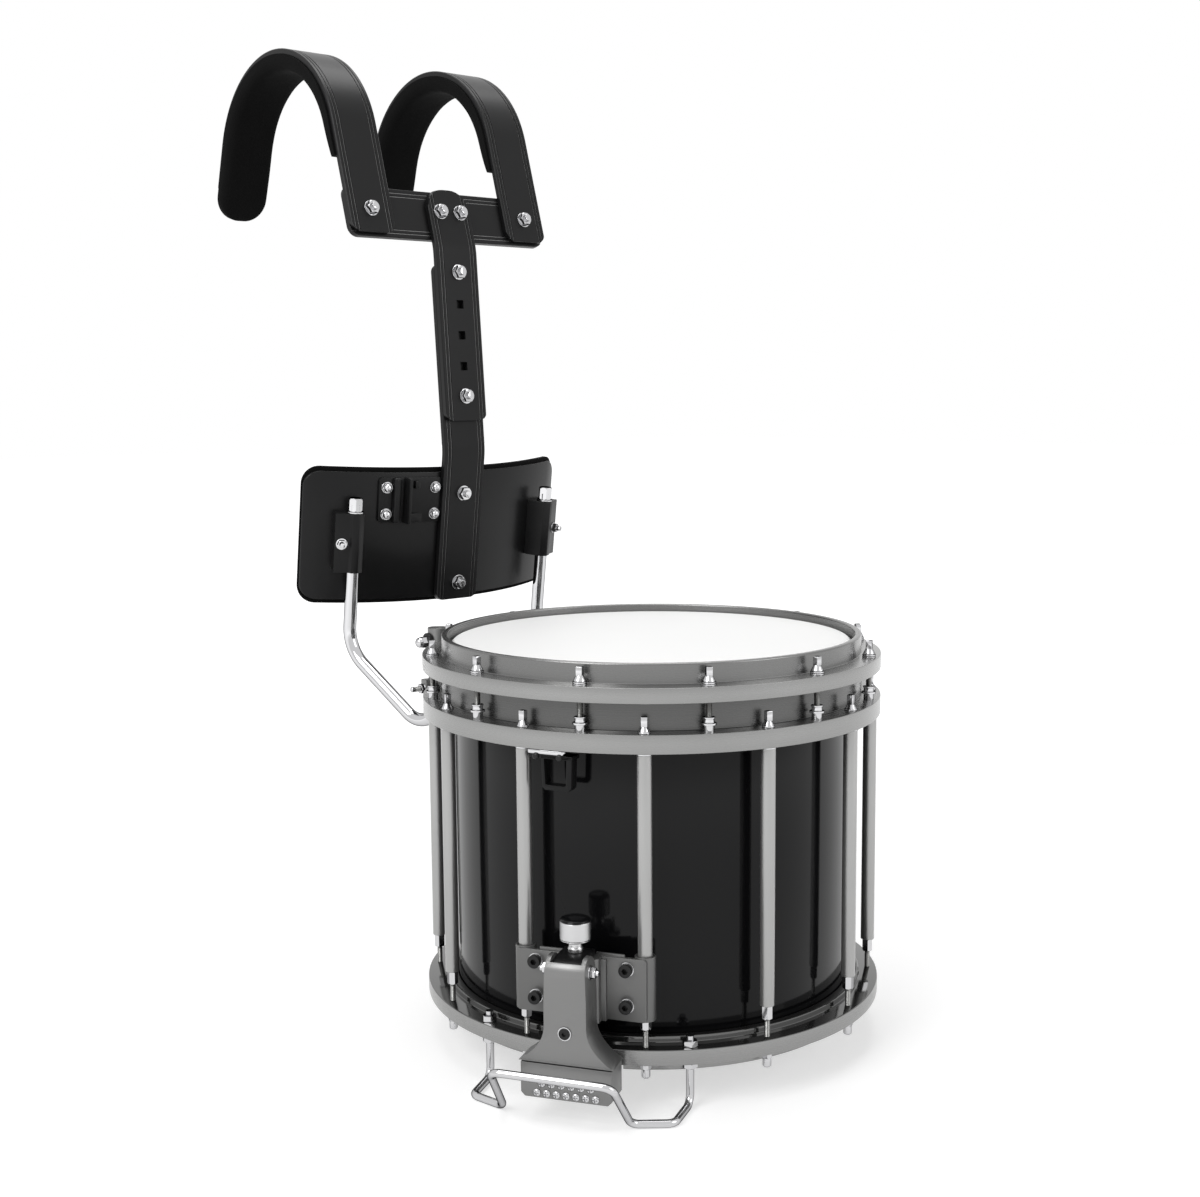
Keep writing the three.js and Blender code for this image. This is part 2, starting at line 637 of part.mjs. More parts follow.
function makeWires() {
  const end = boxBack - gap;
  const half = (strands.count - 1) / 2 * strands.pitch;
  const strand = cylinder(strands.radius, -end + strands.bar / 2, end - strands.bar / 2, strandSides);
  const lying = tilted(strand, 90);
  const places = Array.from({ length: strands.count }, (_, i) => i * strands.pitch - half);
  const rows = places.map((x) => moved(lying, x, 0, strandZ));
  const clamps = [-1, 1].map((side) => {
    const inner = side * (end - strands.bar);
    const outer = side * end;
    return brick(
      -strands.barHalf, strands.barHalf, Math.min(inner, outer), Math.max(inner, outer),
      strandZ - strands.barDown, strandZ + strands.barUp);
  });
  return join(...clamps, ...rows);
}

// A guard wire: two legs through the hoop, a foot out along the floor on each side, and a bar across
function makeGuard() {
  const floorZ = -guard.floor + guard.wire;
  const half = (side) => [
    [side * guard.mountHalf, -mountOut, guard.topUp],
    [side * guard.mountHalf, -mountOut, floorZ, guard.bend],
    [side * guard.rearHalf, -guardOut, floorZ, guard.bend],
    [side * guard.frontHalf, -mountOut - guard.frontOut, floorZ, guard.bend],
    [side * guard.barHalf, -mountOut - guard.barOut, -guard.barDown, guard.bend],
  ];
  const body = wire([...half(-1), ...half(1).reverse()], guard.wire, guardSides, wireStep);
  const nuts = [-1, 1].flatMap((side) => [
    moved(cylinder(guard.nut, gap, gap + guard.nutHeight, hexSides), side * guard.mountHalf, -mountOut, 0),
    moved(
      cylinder(guard.nut, -hoop.thick - gap - guard.lowNutHeight, -hoop.thick - gap, hexSides),
      side * guard.mountHalf, -mountOut, 0),
  ]);
  return join(body, ...nuts);
}

// Carrier

// A receiver tube on its foot, with a capped screw near its top and a clamp bolt near its bottom
function makeReceiver(side) {
  const high = receiverLow + receiver.height;
  const tube = cylinder(receiverRadius, receiverLow, high, clampSides);
  const foot = brick(
    -receiverRadius, receiverRadius, 0, receiverOut - rimRadius - gap, receiverLow,
    receiverLow + receiver.foot);
  const discOut = receiverRadius + receiver.discThick;
  const domeOut = discOut + receiver.domeOut;
  const screw = turned([
    [receiver.pin, 0], [receiver.pin, receiverRadius - gap], [receiver.disc, receiverRadius - gap],
    [receiver.disc, discOut], [receiver.dome, discOut], [receiver.dome, domeOut - receiver.domeRound],
    [receiver.pin, domeOut],
  ], hexSides);
  const lowNutOut = receiverRadius + receiver.lowNutThick;
  const clampBolt = turned([
    [receiver.pin, 0], [receiver.pin, receiverRadius - gap],
    [receiver.lowNut, receiverRadius - gap], [receiver.lowNut, lowNutOut], [receiver.pin, lowNutOut],
    [receiver.pin, receiverRadius + receiver.lowPinOut],
  ], hexSides);
  const crossed = (shape, up) => moved(shape.clone().rotateY(rad(90)), 0, 0, receiverLow + up);
  const fittings = [crossed(screw, receiver.pinUp), crossed(clampBolt, receiver.lowPinUp)];
  const body = join(tube, foot, ...fittings.map((shape) => around(shape, -receiver.turn)));
  const bored = cut(body, bore(rod.radius + gap, receiverLow - overrun, high + overrun, rodBendSides));
  const placed = moved(bored, 0, -receiverOut, 0);
  return side < 0 ? placed : mirrored(placed);
}

// Where the carrier's leaning frame lies
const plateY = rimRadius + plate.out;
const leanSin = Math.sin(rad(lean));
const leanCos = Math.cos(rad(lean));
const fromLean = (y, z) => [plateY + y * leanCos - z * leanSin, plateUp + y * leanSin + z * leanCos];
const farBack = plateY + plate.radius;

function makeRod(side) {
  const t = rad(receiver.angle);
  const endX = side * receiverOut * Math.sin(t);
  const endY = -receiverOut * Math.cos(t);
  const capLow = rodBlock.high + gap;
  const hexLow = capLow + rod.flangeThick;
  const capTop = hexLow + rod.capHeight;
  const [topY, topZ] = fromLean(rod.inset, (hexLow + capTop) / 2);
  const kneeZ = receiverLow + rod.kneeUp;
  const kneeY = topY + (topZ - kneeZ) * Math.tan(rad(lean));
  const elbowZ = receiverLow - rod.elbowDown;
  const endZ = receiverLow + receiver.height - rod.endDown;
  const corners = [
    [side * rod.half, topY, topZ],
    [side * rod.half, kneeY, kneeZ, rod.knee],
    [endX, endY, elbowZ, rod.elbow],
    [endX, endY, endZ],
  ];
  const body = wire(corners, rod.radius, rodBendSides, bendStep);
  const cap = turned([
    [rod.flange, capLow], [rod.flange, hexLow], [rod.capHalf, hexLow],
    [rod.capHalf, capTop - rod.capRound], [rod.capHalf - rod.capRound, capTop],
  ], hexSides);
  const placed = tilted(moved(cap, side * rod.half, rod.inset, 0), lean).translate(0, plateY, plateUp);
  return join(body, placed);
}

// A slab bent on the plate's curve between two radii
function arcSlab(outside, inside, half, low, high) {
  const reach = Math.asin(Math.min(1, half / plate.radius));
  const ring = (radius, back) => Array.from({ length: plateSteps + 1 }, (_, i) => {
    const angle = reach * (2 * i / plateSteps - 1) * back;
    return [radius * Math.sin(angle), plate.radius - radius * Math.cos(angle)];
  });
  return raised([...ring(outside, 1), ...ring(inside, -1)], low, high);
}

function makePlate() {
  const reach = plate.half + plate.corner;
  const slab = arcSlab(plate.radius, plate.radius - plate.thick, reach, -plate.height / 2, plate.height / 2);
  const face = carried(rounded(plate.half, plate.height / 2, plate.corner), -overrun, plate.radius);
  return common(slab, face);
}

// A block drawn round its rod, with x out along the plate and y toward the plate
function makeRodBlock(side) {
  const inner = -rod.radius - rodBlock.side;
  const rib = -rod.radius - rodBlock.wall;
  const low = -rodBlock.low;
  const body = raised([
    [inner, rodBlock.rear], [inner, -rodBlock.sideFront], [-rodBlock.ribIn, rib],
    [rodBlock.ribOut, rib], [rodBlock.lugIn, -rodBlock.lugFront],
    [rodBlock.lugOut, -rodBlock.lugFront], [rodBlock.lugOut, rodBlock.rear],
  ], low, rodBlock.high);
  const face = rodBlock.lugFront;
  const washerTop = face + blockBolt.washerThick;
  const nutTop = washerTop + blockBolt.nutThick;
  const fastener = turned([
    [blockBolt.washer, face - gap], [blockBolt.washer, washerTop], [blockBolt.nut, washerTop],
    [blockBolt.nut, nutTop], [blockBolt.stud, nutTop], [blockBolt.stud, nutTop + blockBolt.studOut],
  ], hexSides);
  const bolted = join(body, moved(tilted(fastener, 90), blockBolt.out, 0, -blockBolt.down));
  const placed = moved(around(bolted, rodBlock.turn), rod.half, rod.inset, 0);
  const behind = arcSlab(
    plate.radius + gap, plate.radius - rodBlock.rear, plate.half, low - overrun, rodBlock.high + overrun);
  const hole = bore(rod.radius + gap, low - overrun, rodBlock.high + overrun, rodBendSides);
  const shape = cut(placed, behind, moved(hole, rod.half, rod.inset, 0));
  return side > 0 ? shape : mirrored(shape);
}

// A flat bar's section, with two shallow grooves along each edge of its front face
function grooved(width, thick) {
  const half = width / 2;
  const front = thick / 2;
  const notch = (x) => [
    [x - strap.grooveHalf, front], [x, front - strap.groove], [x + strap.grooveHalf, front],
  ];
  const edges = [strap.grooveIn, strap.grooveIn + strap.groovePitch];
  const left = edges.flatMap((inset) => notch(-half + inset));
  const right = edges.map((inset) => notch(half - inset)).reverse().flat();
  return [[-half, -front], [-half, front], ...left, ...right, [half, front], [half, -front]];
}

// A grooved bar along YZ points, its front face toward the drum, with its ends trimmed to an outline
function makeBar(path, width, thick) {
  const corners = path.map(([y, z, bend]) => [0, y, z, bend]);
  return swept(grooved(width, thick), bent(corners, barStep));
}

function trimmed(shape, halfWidth, low, high, corner) {
  const keep = carried(bevelled(halfWidth + gap, (high - low) / 2, corner), 0, farBack);
  return common(shape, moved(keep, 0, 0, (low + high) / 2));
}

// Centre lines of the bars in the YZ plane
const barHalfThick = bar.thick / 2;
const barLine = -gap - barHalfThick;
const [lowerY, lowerZ] = fromLean(barLine, -lowerBar.low);
const [bendY, bendZ] = fromLean(barLine, lowerBar.bendUp);
const lowerTopY = bendY + (lowerTop - bendZ) * Math.tan(rad(lowerBar.lean));
const stackY = (bar.thick + gap) / Math.cos(rad(lowerBar.lean));
const alongLower = (z) => bendY + (z - bendZ) * Math.tan(rad(lowerBar.lean)) - stackY;
const upperBendY = alongLower(upperBendZ);
const upperTopY = upperBendY + upperBar.rake * Math.tan(rad(upperBar.lean));

function makeLowerBar() {
  const path = [[lowerY, lowerZ], [bendY, bendZ, lowerBar.bend], [lowerTopY, lowerTop]];
  const shape = makeBar(path, bar.width, bar.thick);
  return trimmed(shape, bar.width / 2, lowerZ - gap, lowerTop - gap, bar.corner);
}

function makeUpperBar() {
  const path = [
    [alongLower(upperLow), upperLow], [upperBendY, upperBendZ, upperBar.bend], [upperTopY, upperTop],
  ];
  const shape = makeBar(path, bar.width, bar.thick);
  const ended = trimmed(shape, bar.width / 2, upperLow + gap, upperTop - gap, upperBar.corner);
  const half = sockets.size / 2;
  const holes = [-1, 0, 1].map((row) => {
    const z = upperLow + sockets.up + row * sockets.pitch;
    const y = alongLower(z);
    return brick(-half, half, y - bar.thick, y + bar.thick, z - half, z + half);
  });
  return cut(ended, ...holes);
}

// The crossbar lies behind the upper bar's leaning top
const stackLean = (bar.thick + gap) / Math.cos(rad(upperBar.lean));
const crossY = upperBendY + crossbar.up * Math.tan(rad(upperBar.lean)) + stackLean;

function makeCrossbar() {
  const section = grooved(crossbar.height, bar.thick).map(([x, y]) => [-y, x]);
  const keep = carried(
    bevelled(crossbar.half, crossbar.height / 2, crossbar.corner), -bar.thick, bar.thick);
  const upright = common(spanned(section, -crossbar.half, crossbar.half), keep);
  return tilted(upright, -upperBar.lean).translate(0, crossY, crossZ);
}

// The shoulder straps arch over from the crossbar's front face
const strapLine = crossY - (barHalfThick + gap + strap.thick / 2) / Math.cos(rad(upperBar.lean));
const archRadius = harness.radius - strap.thick / 2;
const archLean = rad(upperBar.lean);
const archZ = crossZ + harness.rise;
const tangentZ = archZ + archRadius * Math.sin(archLean);
const archY = strapLine + (tangentZ - crossZ) * Math.tan(archLean) + archRadius * Math.cos(archLean);

// Points on an arch about the shoulder, from the front leg's foot to the heel
function archPath(radius, frontEnd, heelEnd) {
  const lift = radius * Math.sin(archLean);
  const out = radius * Math.cos(archLean);
  const legY = (z) => (archZ + lift - z) * Math.tan(archLean);
  const front = [archY - out - legY(frontEnd), frontEnd];
  const heel = [archY + out + legY(heelEnd), heelEnd];
  const sweep = 180 - 2 * upperBar.lean;
  const steps = Math.round(sweep / archStep);
  const arc = Array.from({ length: steps + 1 }, (_, i) => {
    const angle = rad(180 - upperBar.lean - sweep * i / steps);
    return [archY + radius * Math.cos(angle), archZ + radius * Math.sin(angle)];
  });
  return [front, ...arc, heel];
}

function makeStrap(side) {
  const points = archPath(archRadius, footZ, heelZ).map(([y, z]) => new THREE.Vector3(0, y, z));
  const shape = swept(grooved(strap.width, strap.thick), points);
  const half = strap.width / 2 + gap;
  const height = archRadius + archZ - footZ + strap.thick;
  const face = bevelled(half, height / 2, harness.corner);
  const keepFoot = carried(face, 0, archY).translate(0, 0, footZ + height / 2);
  const keepHeel = carried(face, archY, farBack).translate(0, 0, heelZ + height / 2);
  const keepCrest = brick(
    -half, half, archY - overrun, archY + overrun, archZ, archZ + harness.radius + overrun);
  return moved(common(shape, join(keepFoot, keepHeel, keepCrest)), side * harness.half, 0, 0);
}

// Cushions: a flat back on its carrier, a crowned face and drawn-in sides, with round corners of one
// radius at the start and another at the end; place(along, across, height) gives a point
function cushion(place, halfWidth, halfLength, corners, thick, rim, across, along) {
  const narrowing = (b) => {
    const corner = b < 0 ? corners[0] : corners[1];
    const left = corner - (1 - Math.abs(b)) * halfLength;
    return left > 0 ? corner - Math.sqrt(Math.max(0, corner * corner - left * left)) : 0;
  };
  const crown = (a, b) => {
    const fall = (share) => 1 - Math.abs(share) ** crownPower;
    return rim + (thick - rim) * Math.sqrt(Math.max(0, fall(a) * fall(b)));
  };
  const spread = (k, n) => Math.sin(Math.PI / 2 * (2 * k / n - 1));
  const positions = [];
  const faces = [];
  const row = across + 1;
  const layer = row * (along + 1);
  for (const top of [0, 1]) {
    for (let j = 0; j <= along; j += 1) {
      for (let i = 0; i <= across; i += 1) {
        const a = spread(i, across);
        const b = spread(j, along);
        const half = halfWidth - narrowing(b);
        const height = top ? crown(a, b) : 0;
        positions.push(...place(b * halfLength, a * half, height));
      }
    }
  }
  const quad = (a, b, c, d) => faces.push(a, b, c, a, c, d);
  for (let j = 0; j < along; j += 1) {
    for (let i = 0; i < across; i += 1) {
      const k = j * row + i;
      quad(k, k + 1, k + row + 1, k + row);
      quad(layer + k, layer + k + row, layer + k + row + 1, layer + k + 1);
    }
  }
  for (let j = 0; j < along; j += 1) {
    quad(j * row, (j + 1) * row, layer + (j + 1) * row, layer + j * row);
    const k = j * row + across;
    quad(k, layer + k, layer + k + row, k + row);
  }
  for (let i = 0; i < across; i += 1) {
    quad(i, layer + i, layer + i + 1, i + 1);
    const k = along * row + i;
    quad(k, k + 1, layer + k + 1, layer + k);
  }
  const shape = new THREE.BufferGeometry();
  shape.setAttribute('position', new THREE.Float32BufferAttribute(positions, 3));
  shape.setIndex(faces);
  return toShape(toSolid(shape));
}

function makeBellyPad() {
  const inside = plate.radius - plate.thick - gap;
  const place = (along, across, height) => {
    const angle = across / plate.radius;
    const radius = inside - height;
    return [radius * Math.sin(angle), plate.radius - radius * Math.cos(angle), along];
  };
  const reach = plate.radius * Math.asin(plate.half / plate.radius) + bellyPad.over;
  return cushion(
    place, reach, plate.height / 2 + bellyPad.over, [bellyPad.corner, bellyPad.corner],
    bellyPad.thick, bellyPad.rim, bellyPad.acrossSteps, bellyPad.alongSteps);
}

function makeShoulderPad(side) {
  const inner = archRadius - strap.thick / 2 - gap;
  const path = archPath(inner, crossZ + shoulderPad.frontUp, crossZ + shoulderPad.heelUp);
  const lengths = path.map((p, i) => (i ? Math.hypot(p[0] - path[i - 1][0], p[1] - path[i - 1][1]) : 0));
  const total = lengths.reduce((a, b) => a + b, 0);
  const at = (s) => {
    let rest = s;
    let i = 1;
    while (i < path.length - 1 && rest > lengths[i]) {
      rest -= lengths[i];
      i += 1;
    }
    const share = Math.min(1, rest / lengths[i]);
    const [y0, z0] = path[i - 1];
    const [y1, z1] = path[i];
    const dy = y1 - y0;
    const dz = z1 - z0;
    return { y: y0 + dy * share, z: z0 + dz * share, dy: dy / lengths[i], dz: dz / lengths[i] };
  };
  const place = (along, across, height) => {
    const p = at(along + total / 2);
    return [side * harness.half + across, p.y + p.dz * height, p.z - p.dy * height];
  };
  return cushion(
    place, shoulderPad.width / 2, total / 2, [0, shoulderPad.corner], shoulderPad.thick,
    shoulderPad.rim, shoulderPad.acrossSteps, shoulderPad.alongSteps);
}

// Small brackets

function makeLoop() {
  const top = ringLow - gap - loop.stripThick - gap;
  const low = ringLow - loop.drop;
  const ceiling = top - loop.stripThick;
  const outer = brick(-loop.left, loop.right, -loopFront, -loopBack, low, top);
  const opening = brick(
    -loop.left + loop.thinWall, loop.right - loop.wall, -loopFront - overrun, -loopBack + overrun,
    low + loop.floor, ceiling);
  const shelf = brick(-stripLeft + loop.shelfIn, loop.right, -loopFront, -loopBack, ceiling, top);
  return around(join(cut(outer, opening), shelf), loopAngle);
}

function makeLoopStrip() {
  const top = ringLow - gap;
  const strip = brick(-stripLeft, loop.stripRight, -loopFront, -loopBack, top - loop.stripThick, top);
  return around(strip, loopAngle);
}

function makeClip() {
  const { low, high } = clip;
  const seat = plate.radius + gap;
  const wide = brick(-clip.left, -clip.right, -plate.radius, plate.radius, low, high);
  const base = common(arcSlab(seat + clip.thick, seat, plate.half, low, high), wide);
  const mid = -(clip.left + clip.right) / 2;
  const surface = plate.radius - Math.sqrt(plate.radius ** 2 - mid ** 2);
  const foot = surface - clip.thick / 2;
  const crest = foot - clip.thick - clip.ribUp;
  const slotLeft = mid - clip.slot / 2;
  const slotRight = mid + clip.slot / 2;
  const ramp = raised([
    [slotLeft - clip.ramp, foot], [slotLeft, foot], [slotLeft, crest], [slotLeft - clip.rib, crest],
  ], low + gap, high - gap);
  const rib = brick(slotRight, slotRight + clip.rib, crest, foot, low + gap, high - gap);
  return join(base, ramp, rib);
}

// The assembly

const drum = new THREE.Group();
drum.position.z = -headTop;
const carrier = new THREE.Group();
carrier.position.set(0, plateY, plateUp);
carrier.rotation.x = rad(lean);
drum.add(carrier);

function add(name, shape, material, group = drum) {
  const mesh = new THREE.Mesh(shape, material);
  mesh.name = name;
  group.add(mesh);
  return mesh;
}

const sides = [['left', -1], ['right', 1]];
const numbered = (name, i) => `${name}_${String(i + 1).padStart(2, '0')}`;

add('shell', makeShell(), glossBlack);
add('edge_ring', makeEdgeRing(), castGrey);
add('batter_head', makeBatterHead(), headWhite);
add('top_hoop', makeTopHoop(), castGrey);
add('snare_head', makeSnareHead(), headWhite);
add('bottom_hoop', makeBottomHoop(), castGrey);

const boltShape = makeBolt();
boltAngles.forEach((angle, i) => add(numbered('tension_bolt', i), onCircle(boltShape, angle), chrome));
const columnShape = makeColumn();
tubeAngles.forEach((angle, i) => add(numbered('tension_tube', i), onCircle(columnShape, angle), tubeGrey));

add('strainer_plate', around(makeStrainerPlate(), strainerAngle), castGrey);
add('strainer_head', around(makeHeadBlock(), strainerAngle), satinBlack);
add('throw_lever', around(makeLever(), strainerAngle), castGrey);
add('adjuster_knob', around(makeKnob(), strainerAngle), chrome);
add('snare_carriage', around(makeBox(box.postHalf, box.postTop), strainerAngle), castGrey);
add('snare_wires', around(makeWires(), strainerAngle), chrome);
add('butt_plate', around(makeStrainerPlate(), strainerAngle + 180), castGrey);
add('butt_carriage', around(makeBox(box.buttPostHalf, box.buttPostTop), strainerAngle + 180), castGrey);
const guardShape = makeGuard();
add('strainer_guard', around(guardShape, guard.angle), chrome);
add('butt_guard', around(guardShape, guard.angle + 180), chrome);
add('bracket_strip', makeLoopStrip(), chrome);
add('bracket_loop', makeLoop(), satinBlack);

for (const [name, side] of sides) {
  add(`${name}_receiver`, around(makeReceiver(side), side * receiver.angle), castGrey);
  add(`${name}_j_rod`, makeRod(side), chrome);
  add(`${name}_rod_block`, makeRodBlock(side), satinBlack, carrier);
}
add('belly_plate', makePlate(), satinBlack, carrier);
add('belly_pad', makeBellyPad(), foamBlack, carrier);
add('clip_bracket', makeClip(), satinBlack, carrier);
add('lower_bar', makeLowerBar(), satinBlack);
add('upper_bar', makeUpperBar(), satinBlack);
add('crossbar', makeCrossbar(), satinBlack);
for (const [name, side] of sides) {
  add(`${name}_shoulder_bar`, makeStrap(side), satinBlack);
  add(`${name}_shoulder_pad`, makeShoulderPad(side), foamBlack);
}

export default drum;
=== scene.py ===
from math import asin, cos, degrees, dist, pi, radians, sin, sqrt, tan

import bmesh
import bpy
from mathutils import Matrix, Vector, noise


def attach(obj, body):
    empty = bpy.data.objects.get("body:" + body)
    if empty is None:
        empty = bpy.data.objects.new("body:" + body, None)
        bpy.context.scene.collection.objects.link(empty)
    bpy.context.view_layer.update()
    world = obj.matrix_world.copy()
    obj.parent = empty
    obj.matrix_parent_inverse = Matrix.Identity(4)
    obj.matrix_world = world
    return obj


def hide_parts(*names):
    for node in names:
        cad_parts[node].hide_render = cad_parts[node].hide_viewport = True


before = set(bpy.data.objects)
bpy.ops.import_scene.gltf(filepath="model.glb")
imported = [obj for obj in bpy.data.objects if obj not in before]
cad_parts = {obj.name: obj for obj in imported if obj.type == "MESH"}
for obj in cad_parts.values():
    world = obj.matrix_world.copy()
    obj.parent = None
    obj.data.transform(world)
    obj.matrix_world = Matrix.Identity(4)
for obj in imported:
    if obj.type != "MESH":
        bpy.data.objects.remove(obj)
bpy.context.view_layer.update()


# Camera: the photograph was taken from in front of the drum and to its left, a little above the
# head, with a lens slightly longer than normal.
def placed(name, data):
    """A new object in the scene."""
    obj = bpy.data.objects.new(name, data)
    bpy.context.collection.objects.link(obj)
    return obj


camera_data = bpy.data.cameras.new("camera")
camera_data.lens = 49.91
camera_data.sensor_width = 36
camera_data.sensor_fit = "HORIZONTAL"
camera = placed("camera", camera_data)
turn, drop, tilt = radians(-41.7), radians(7.09), radians(-0.48)
back = Vector((sin(turn) * cos(drop), -cos(turn) * cos(drop), sin(drop)))
right = Vector((cos(turn), sin(turn), 0))
right = right * cos(tilt) + back.cross(right) * sin(tilt)
view_axes = Matrix((right, back.cross(right), back)).transposed().to_4x4()
camera.matrix_world = Matrix.Translation((-1.0153, -1.0719, 0.2186)) @ view_axes
bpy.context.scene.camera = camera
bpy.context.scene.view_settings.view_transform = "Standard"


# Floor and light: a white studio sweep under large soft lamps. The drum stands on its two wire
# guards, and the floor shows their soft shadow. Its glow is weaker near the drum, where the lamps
# are strongest, and low enough there to add a painted shade round the drum.
def joined(tree, node, inputs):
    """The node with its inputs set to values, or joined to the outputs of other nodes."""
    for socket, value in inputs.items():
        if isinstance(value, bpy.types.Node):
            value = value.outputs[0]
        if isinstance(value, bpy.types.NodeSocket):
            tree.links.new(value, node.inputs[socket])
        else:
            node.inputs[socket].default_value = value
    return node


def wired(tree, kind, inputs=None, **settings):
    """A new node in a tree, with its settings and its inputs."""
    node = tree.nodes.new(kind)
    for name, value in settings.items():
        setattr(node, name, value)
    return joined(tree, node, inputs or {})


def seen_directly(tree):
    """1 for rays from the camera, from mirrors and through glass, and 0 for the rest."""
    ray = wired(tree, "ShaderNodeLightPath").outputs
    first = wired(
        tree, "ShaderNodeMath", {0: ray["Is Camera Ray"], 1: ray["Is Glossy Ray"]}, operation="MAXIMUM")
    return wired(tree, "ShaderNodeMath", {0: first, 1: ray["Is Transmission Ray"]}, operation="MAXIMUM")


floor_height, floor_half = -0.3552, 14
floor_mesh = bpy.data.meshes.new("floor")
floor_mesh.from_pydata(
    [(x * floor_half, y * floor_half, floor_height) for x, y in ((-1, -1), (1, -1), (1, 1), (-1, 1))],
    [], [(0, 1, 2, 3)])
floor = placed("floor", floor_mesh)
floor_paint = bpy.data.materials.new("white studio floor")
floor_paint.use_nodes = True
floor_tree = floor_paint.node_tree
floor_tree.nodes.remove(floor_tree.nodes["Principled BSDF"])
floor_place = wired(floor_tree, "ShaderNodeTexCoord").outputs["Object"]
floor_reach = wired(floor_tree, "ShaderNodeVectorMath", {0: floor_place}, operation="LENGTH")
# Painted shade: the floor's glow falls from 0.98 far off to 0.55 near the drum, darkening the floor round
# it.
floor_glow_with_painted_shade = wired(floor_tree, "ShaderNodeMapRange", {
    "Value": floor_reach.outputs["Value"], "From Min": 0.5, "From Max": 2.5, "To Min": 0.55, "To Max": 0.98},
    interpolation_type="SMOOTHSTEP")
glow_level = wired(
    floor_tree, "ShaderNodeMath", {0: seen_directly(floor_tree), 1: floor_glow_with_painted_shade}, operation="MULTIPLY")
floor_glow = wired(floor_tree, "ShaderNodeEmission", {"Strength": glow_level})
matte_floor = wired(floor_tree, "ShaderNodeBsdfDiffuse", {"Color": (0.62, 0.62, 0.62, 1)})
floor_sum = wired(floor_tree, "ShaderNodeAddShader", {0: matte_floor, 1: floor_glow})
joined(floor_tree, floor_tree.nodes["Material Output"], {"Surface": floor_sum})
floor_mesh.materials.append(floor_paint)

world = bpy.data.worlds.new("white studio")
bpy.context.scene.world = world
world.use_nodes = True
sky_tree = world.node_tree
sky_level = wired(
    sky_tree, "ShaderNodeMapRange", {"Value": seen_directly(sky_tree), "To Min": 0.31, "To Max": 1})
joined(sky_tree, sky_tree.nodes["Background"], {"Color": (1, 1, 1, 1), "Strength": sky_level})


def lamp(name, place, aim, size, watts):
    """A square soft lamp at one point, turned toward another."""
    data = bpy.data.lights.new(name, "AREA")
    data.size = size
    data.energy = watts
    light = placed(name, data)
    light.location = place
    light.rotation_euler = (Vector(place) - Vector(aim)).to_track_quat("Z", "Y").to_euler()


lamp("key lamp", (-2.3, -0.3, 1.7), (0, 0, 0), 1.6, 42)
lamp("fill lamp", (0.9, -2.4, 1.1), (0, 0, 0), 1.4, 16)
lamp("top lamp", (0.3, 0.5, 2.4), (0, 0.1, 0), 1.8, 34)

# Shell: a thin ply shell, open at both ends, lacquered in deep gloss black. It hangs inside the
# edge ring, and everything else on the drum is carried by the ring and the two hoops.
head_height = 303.3
into_frame = Matrix.Translation((0, 0, -head_height / 1000)) @ Matrix.Scale(0.001, 4)
ring_facets = 240


def as_mesh(shape):
    """A finished mesh from a shape that is being worked on."""
    bmesh.ops.remove_doubles(shape, verts=shape.verts, dist=1e-4)
    bmesh.ops.recalc_face_normals(shape, faces=shape.faces)
    mesh = bpy.data.meshes.new("work")
    shape.to_mesh(mesh)
    shape.free()
    return mesh


def skinned(rings, capped=True):
    """A mesh with a skin between each ring of points and the next, with or without end caps."""
    shape = bmesh.new()
    rings = [[shape.verts.new(point) for point in ring] for ring in rings]
    for near, far in zip(rings, rings[1:]):
        for i in range(len(near)):
            j = (i + 1) % len(near)
            shape.faces.new([near[i], near[j], far[j], far[i]])
    if capped:
        shape.faces.new(rings[0])
        shape.faces.new(rings[-1])
    return as_mesh(shape)


def eased(outline, radius, steps, closed):
    """The same outline with its corners rounded by up to the given radius."""
    result = []
    for i, corner in enumerate(outline):
        here = Vector(corner)
        if not closed and i in (0, len(outline) - 1):
            result.append(tuple(here))
            continue
        behind = Vector(outline[i - 1]) - here
        ahead = Vector(outline[(i + 1) % len(outline)]) - here
        start = here + behind.normalized() * min(radius, behind.length * 0.45)
        end = here + ahead.normalized() * min(radius, ahead.length * 0.45)
        for k in range(steps + 1):
            s = k / steps
            result.append(tuple((1 - s) ** 2 * start + 2 * s * (1 - s) * here + s * s * end))
    return result


def turned(outline, facets=ring_facets, soft=0, steps=3):
    """A shape turned on a lathe from (radius, height) points, in millimetres from the bottom hoop.

    The soft radius rounds its edges in a few steps. An outline that starts on the axis makes a solid.
    """
    solid = outline[0][0] == 0
    if soft:
        outline = eased(outline, soft, steps, not solid)
    angles = [2 * pi * i / facets for i in range(facets)]
    rings = [[(r * sin(a), -r * cos(a), z) for a in angles] for r, z in outline]
    return skinned(rings if solid else rings + rings[:1], capped=False)


def piece(name, mesh, material, body, *nodes, slot=None, crease=32):
    """A finished piece, brought to the frame's metres, smoothed and set on the body that carries it.

    It replaces the node of its own name, or the nodes that are given.
    """
    mesh.transform(into_frame)
    mesh.name = name
    mesh.materials.clear()
    mesh.materials.append(material)
    shape = bmesh.new()
    shape.from_mesh(mesh)
    bmesh.ops.recalc_face_normals(shape, faces=shape.faces)
    for face in shape.faces:
        face.smooth = True
        face.material_index = 0
    for edge in shape.edges:
        edge.smooth = len(edge.link_faces) == 2 and edge.calc_face_angle() <= radians(crease)
    shape.to_mesh(mesh)
    shape.free()
    obj = placed(name, mesh)
    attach(obj, body)
    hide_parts(*(nodes or [name]))
    return obj


def axis_distance(tree, place):
    """How far a point of the surface lies from the drum's axis."""
    level = wired(tree, "ShaderNodeVectorMath", {0: place, 1: (1, 1, 0)}, operation="MULTIPLY")
    return wired(tree, "ShaderNodeVectorMath", {0: level}, operation="LENGTH").outputs["Value"]


